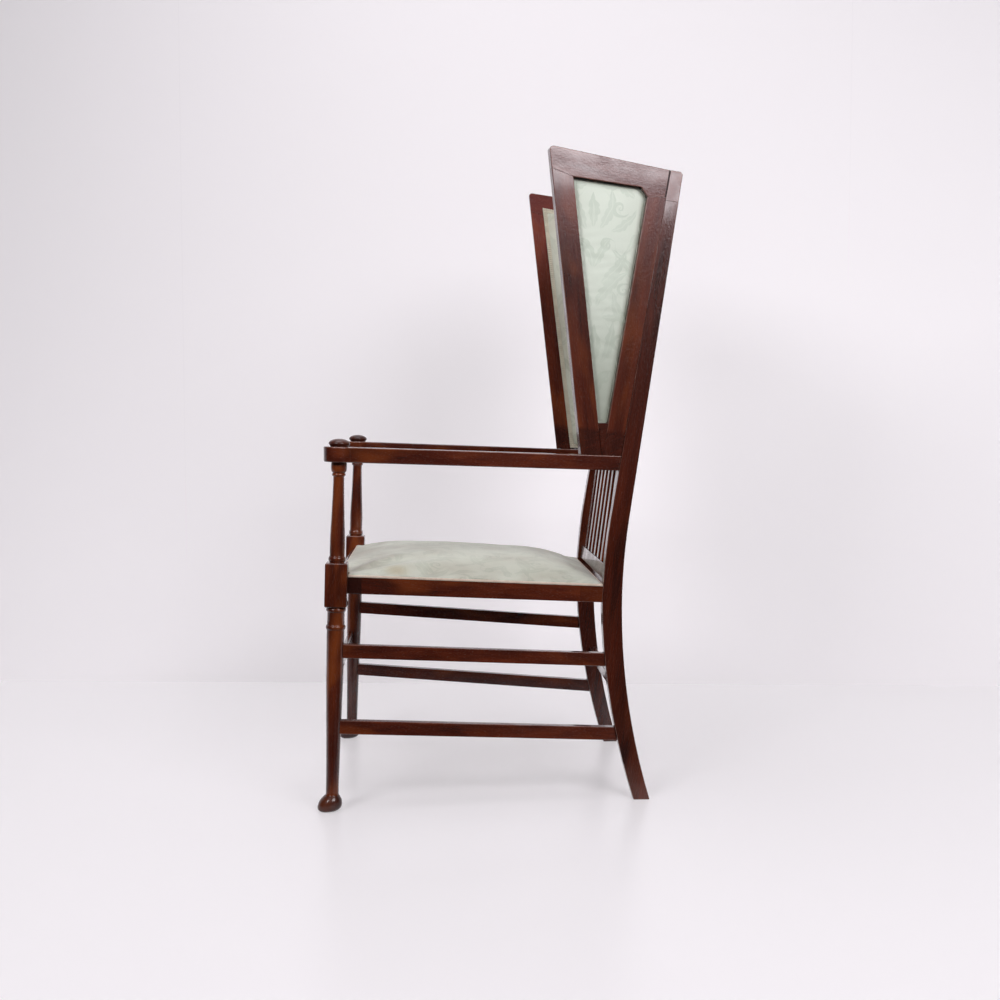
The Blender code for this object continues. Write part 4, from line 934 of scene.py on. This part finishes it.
def roomBox(name, centre, size, finish, turned=True):
    bpy.ops.object.select_all(action="DESELECT")
    bpy.ops.mesh.primitive_cube_add(size=1, location=centre, scale=size)
    slab = settle(lastAdded(name))
    if turned:
        startEditing(slab, "FACE")                          # of the wall only the face toward the chair stays
        bpy.ops.mesh.select_all(action="DESELECT")
        stopEditing()
        for face in slab.data.polygons:
            face.select = face.normal.x < 0.5
        bpy.ops.object.mode_set(mode="EDIT")
        bpy.ops.mesh.delete(type="FACE")
        stopEditing()
        spot = Vector((*room["corner"], 0))
        slab.data.transform(Matrix.Translation(spot) @ Matrix.Rotation(-math.radians(room["turn"]), 4, "Z"))
    slab.data.materials.append(finish)
    return slab


reach = room["reach"]
deep = room["skirtingDepth"]
wallFinish = roomFinish("wall_paint", room["wall"], room["wallLit"], room["wallGlow"], room["wallRough"])
floorFinish = roomFinish("floor_paint", room["floor"], room["floor"], room["floorGlow"], room["floorRough"], True)
roomBox("floor", (0, 0, -0.01), (2 * reach, 2 * reach, 0.02), floorFinish, False)
roomBox("wall", (-deep - 0.05, 0, reach / 2), (0.1, 2 * reach, reach), wallFinish)
roomBox("skirting", (-deep / 2, 0, room["skirting"] / 2), (deep, 2 * reach, room["skirting"]), wallFinish)
seamFinish = roomFinish("seam_shade", room["seam"], room["seamLit"], room["wallGlow"], room["wallRough"])
for number, place in enumerate(room["seams"]):
    roomBox(f"wall_seam_{number}", (-deep + 0.0001, place, (reach + room["skirting"]) / 2),
            (0.0004, room["seamWidth"], reach - room["skirting"]), seamFinish)

lamps = {
    "overhead": {"place": (0.3, -0.3, 3.0), "aim": (0, 0, 0.5), "size": (1.6, 1.6), "power": 30},
    "frontBox": {"place": (2.80, -1.95, 2.30), "aim": (0, -0.1, 0.8), "size": (1.1, 1.1), "power": 50},
    "rearBox": {"place": (3.05, 1.60, 2.30), "aim": (0, 0.1, 0.9), "size": (1.9, 1.4), "power": 78},
}
lampColour = (1.0, 0.975, 1.01)
for name, look in lamps.items():
    data = bpy.data.lights.new(name, "AREA")
    data.shape = "RECTANGLE"
    data.size, data.size_y = look["size"]
    data.energy = look["power"]
    data.color = lampColour
    lamp = bpy.data.objects.new(name, data)
    bpy.context.scene.collection.objects.link(lamp)
    lamp.location = look["place"]
    lamp.rotation_euler = (Vector(look["aim"]) - Vector(look["place"])).to_track_quat("-Z", "Y").to_euler()

air = {"colour": (0.86, 0.84, 0.90), "light": 0.04, "shownMore": 0.90}      # dark to the chair, pale to the camera
world = bpy.data.worlds.new("dark_room")
bpy.context.scene.world = world
world.use_nodes = True
tree = world.node_tree
background = tree.nodes["Background"]
background.inputs["Color"].default_value = (*air["colour"], 1)
path = tree.nodes.new("ShaderNodeLightPath")
level = tree.nodes.new("ShaderNodeMath")
level.operation = "MULTIPLY_ADD"
level.inputs[1].default_value = air["shownMore"]
level.inputs[2].default_value = air["light"]
tree.links.new(path.outputs["Is Camera Ray"], level.inputs[0])
tree.links.new(level.outputs[0], background.inputs["Strength"])

view = {"place": (2.7486, -0.1196, 0.7417), "turn": (1.5089, 0, 1.5229), "lens": 47.28, "sensor": 36}
camera = bpy.data.objects.new("camera", bpy.data.cameras.new("camera"))
bpy.context.scene.collection.objects.link(camera)
camera.location = view["place"]
camera.rotation_euler = view["turn"]
camera.data.lens = view["lens"]
camera.data.sensor_width = view["sensor"]
bpy.context.scene.camera = camera
bpy.context.scene.view_settings.view_transform = "Standard"
print("room, lamps and camera placed")
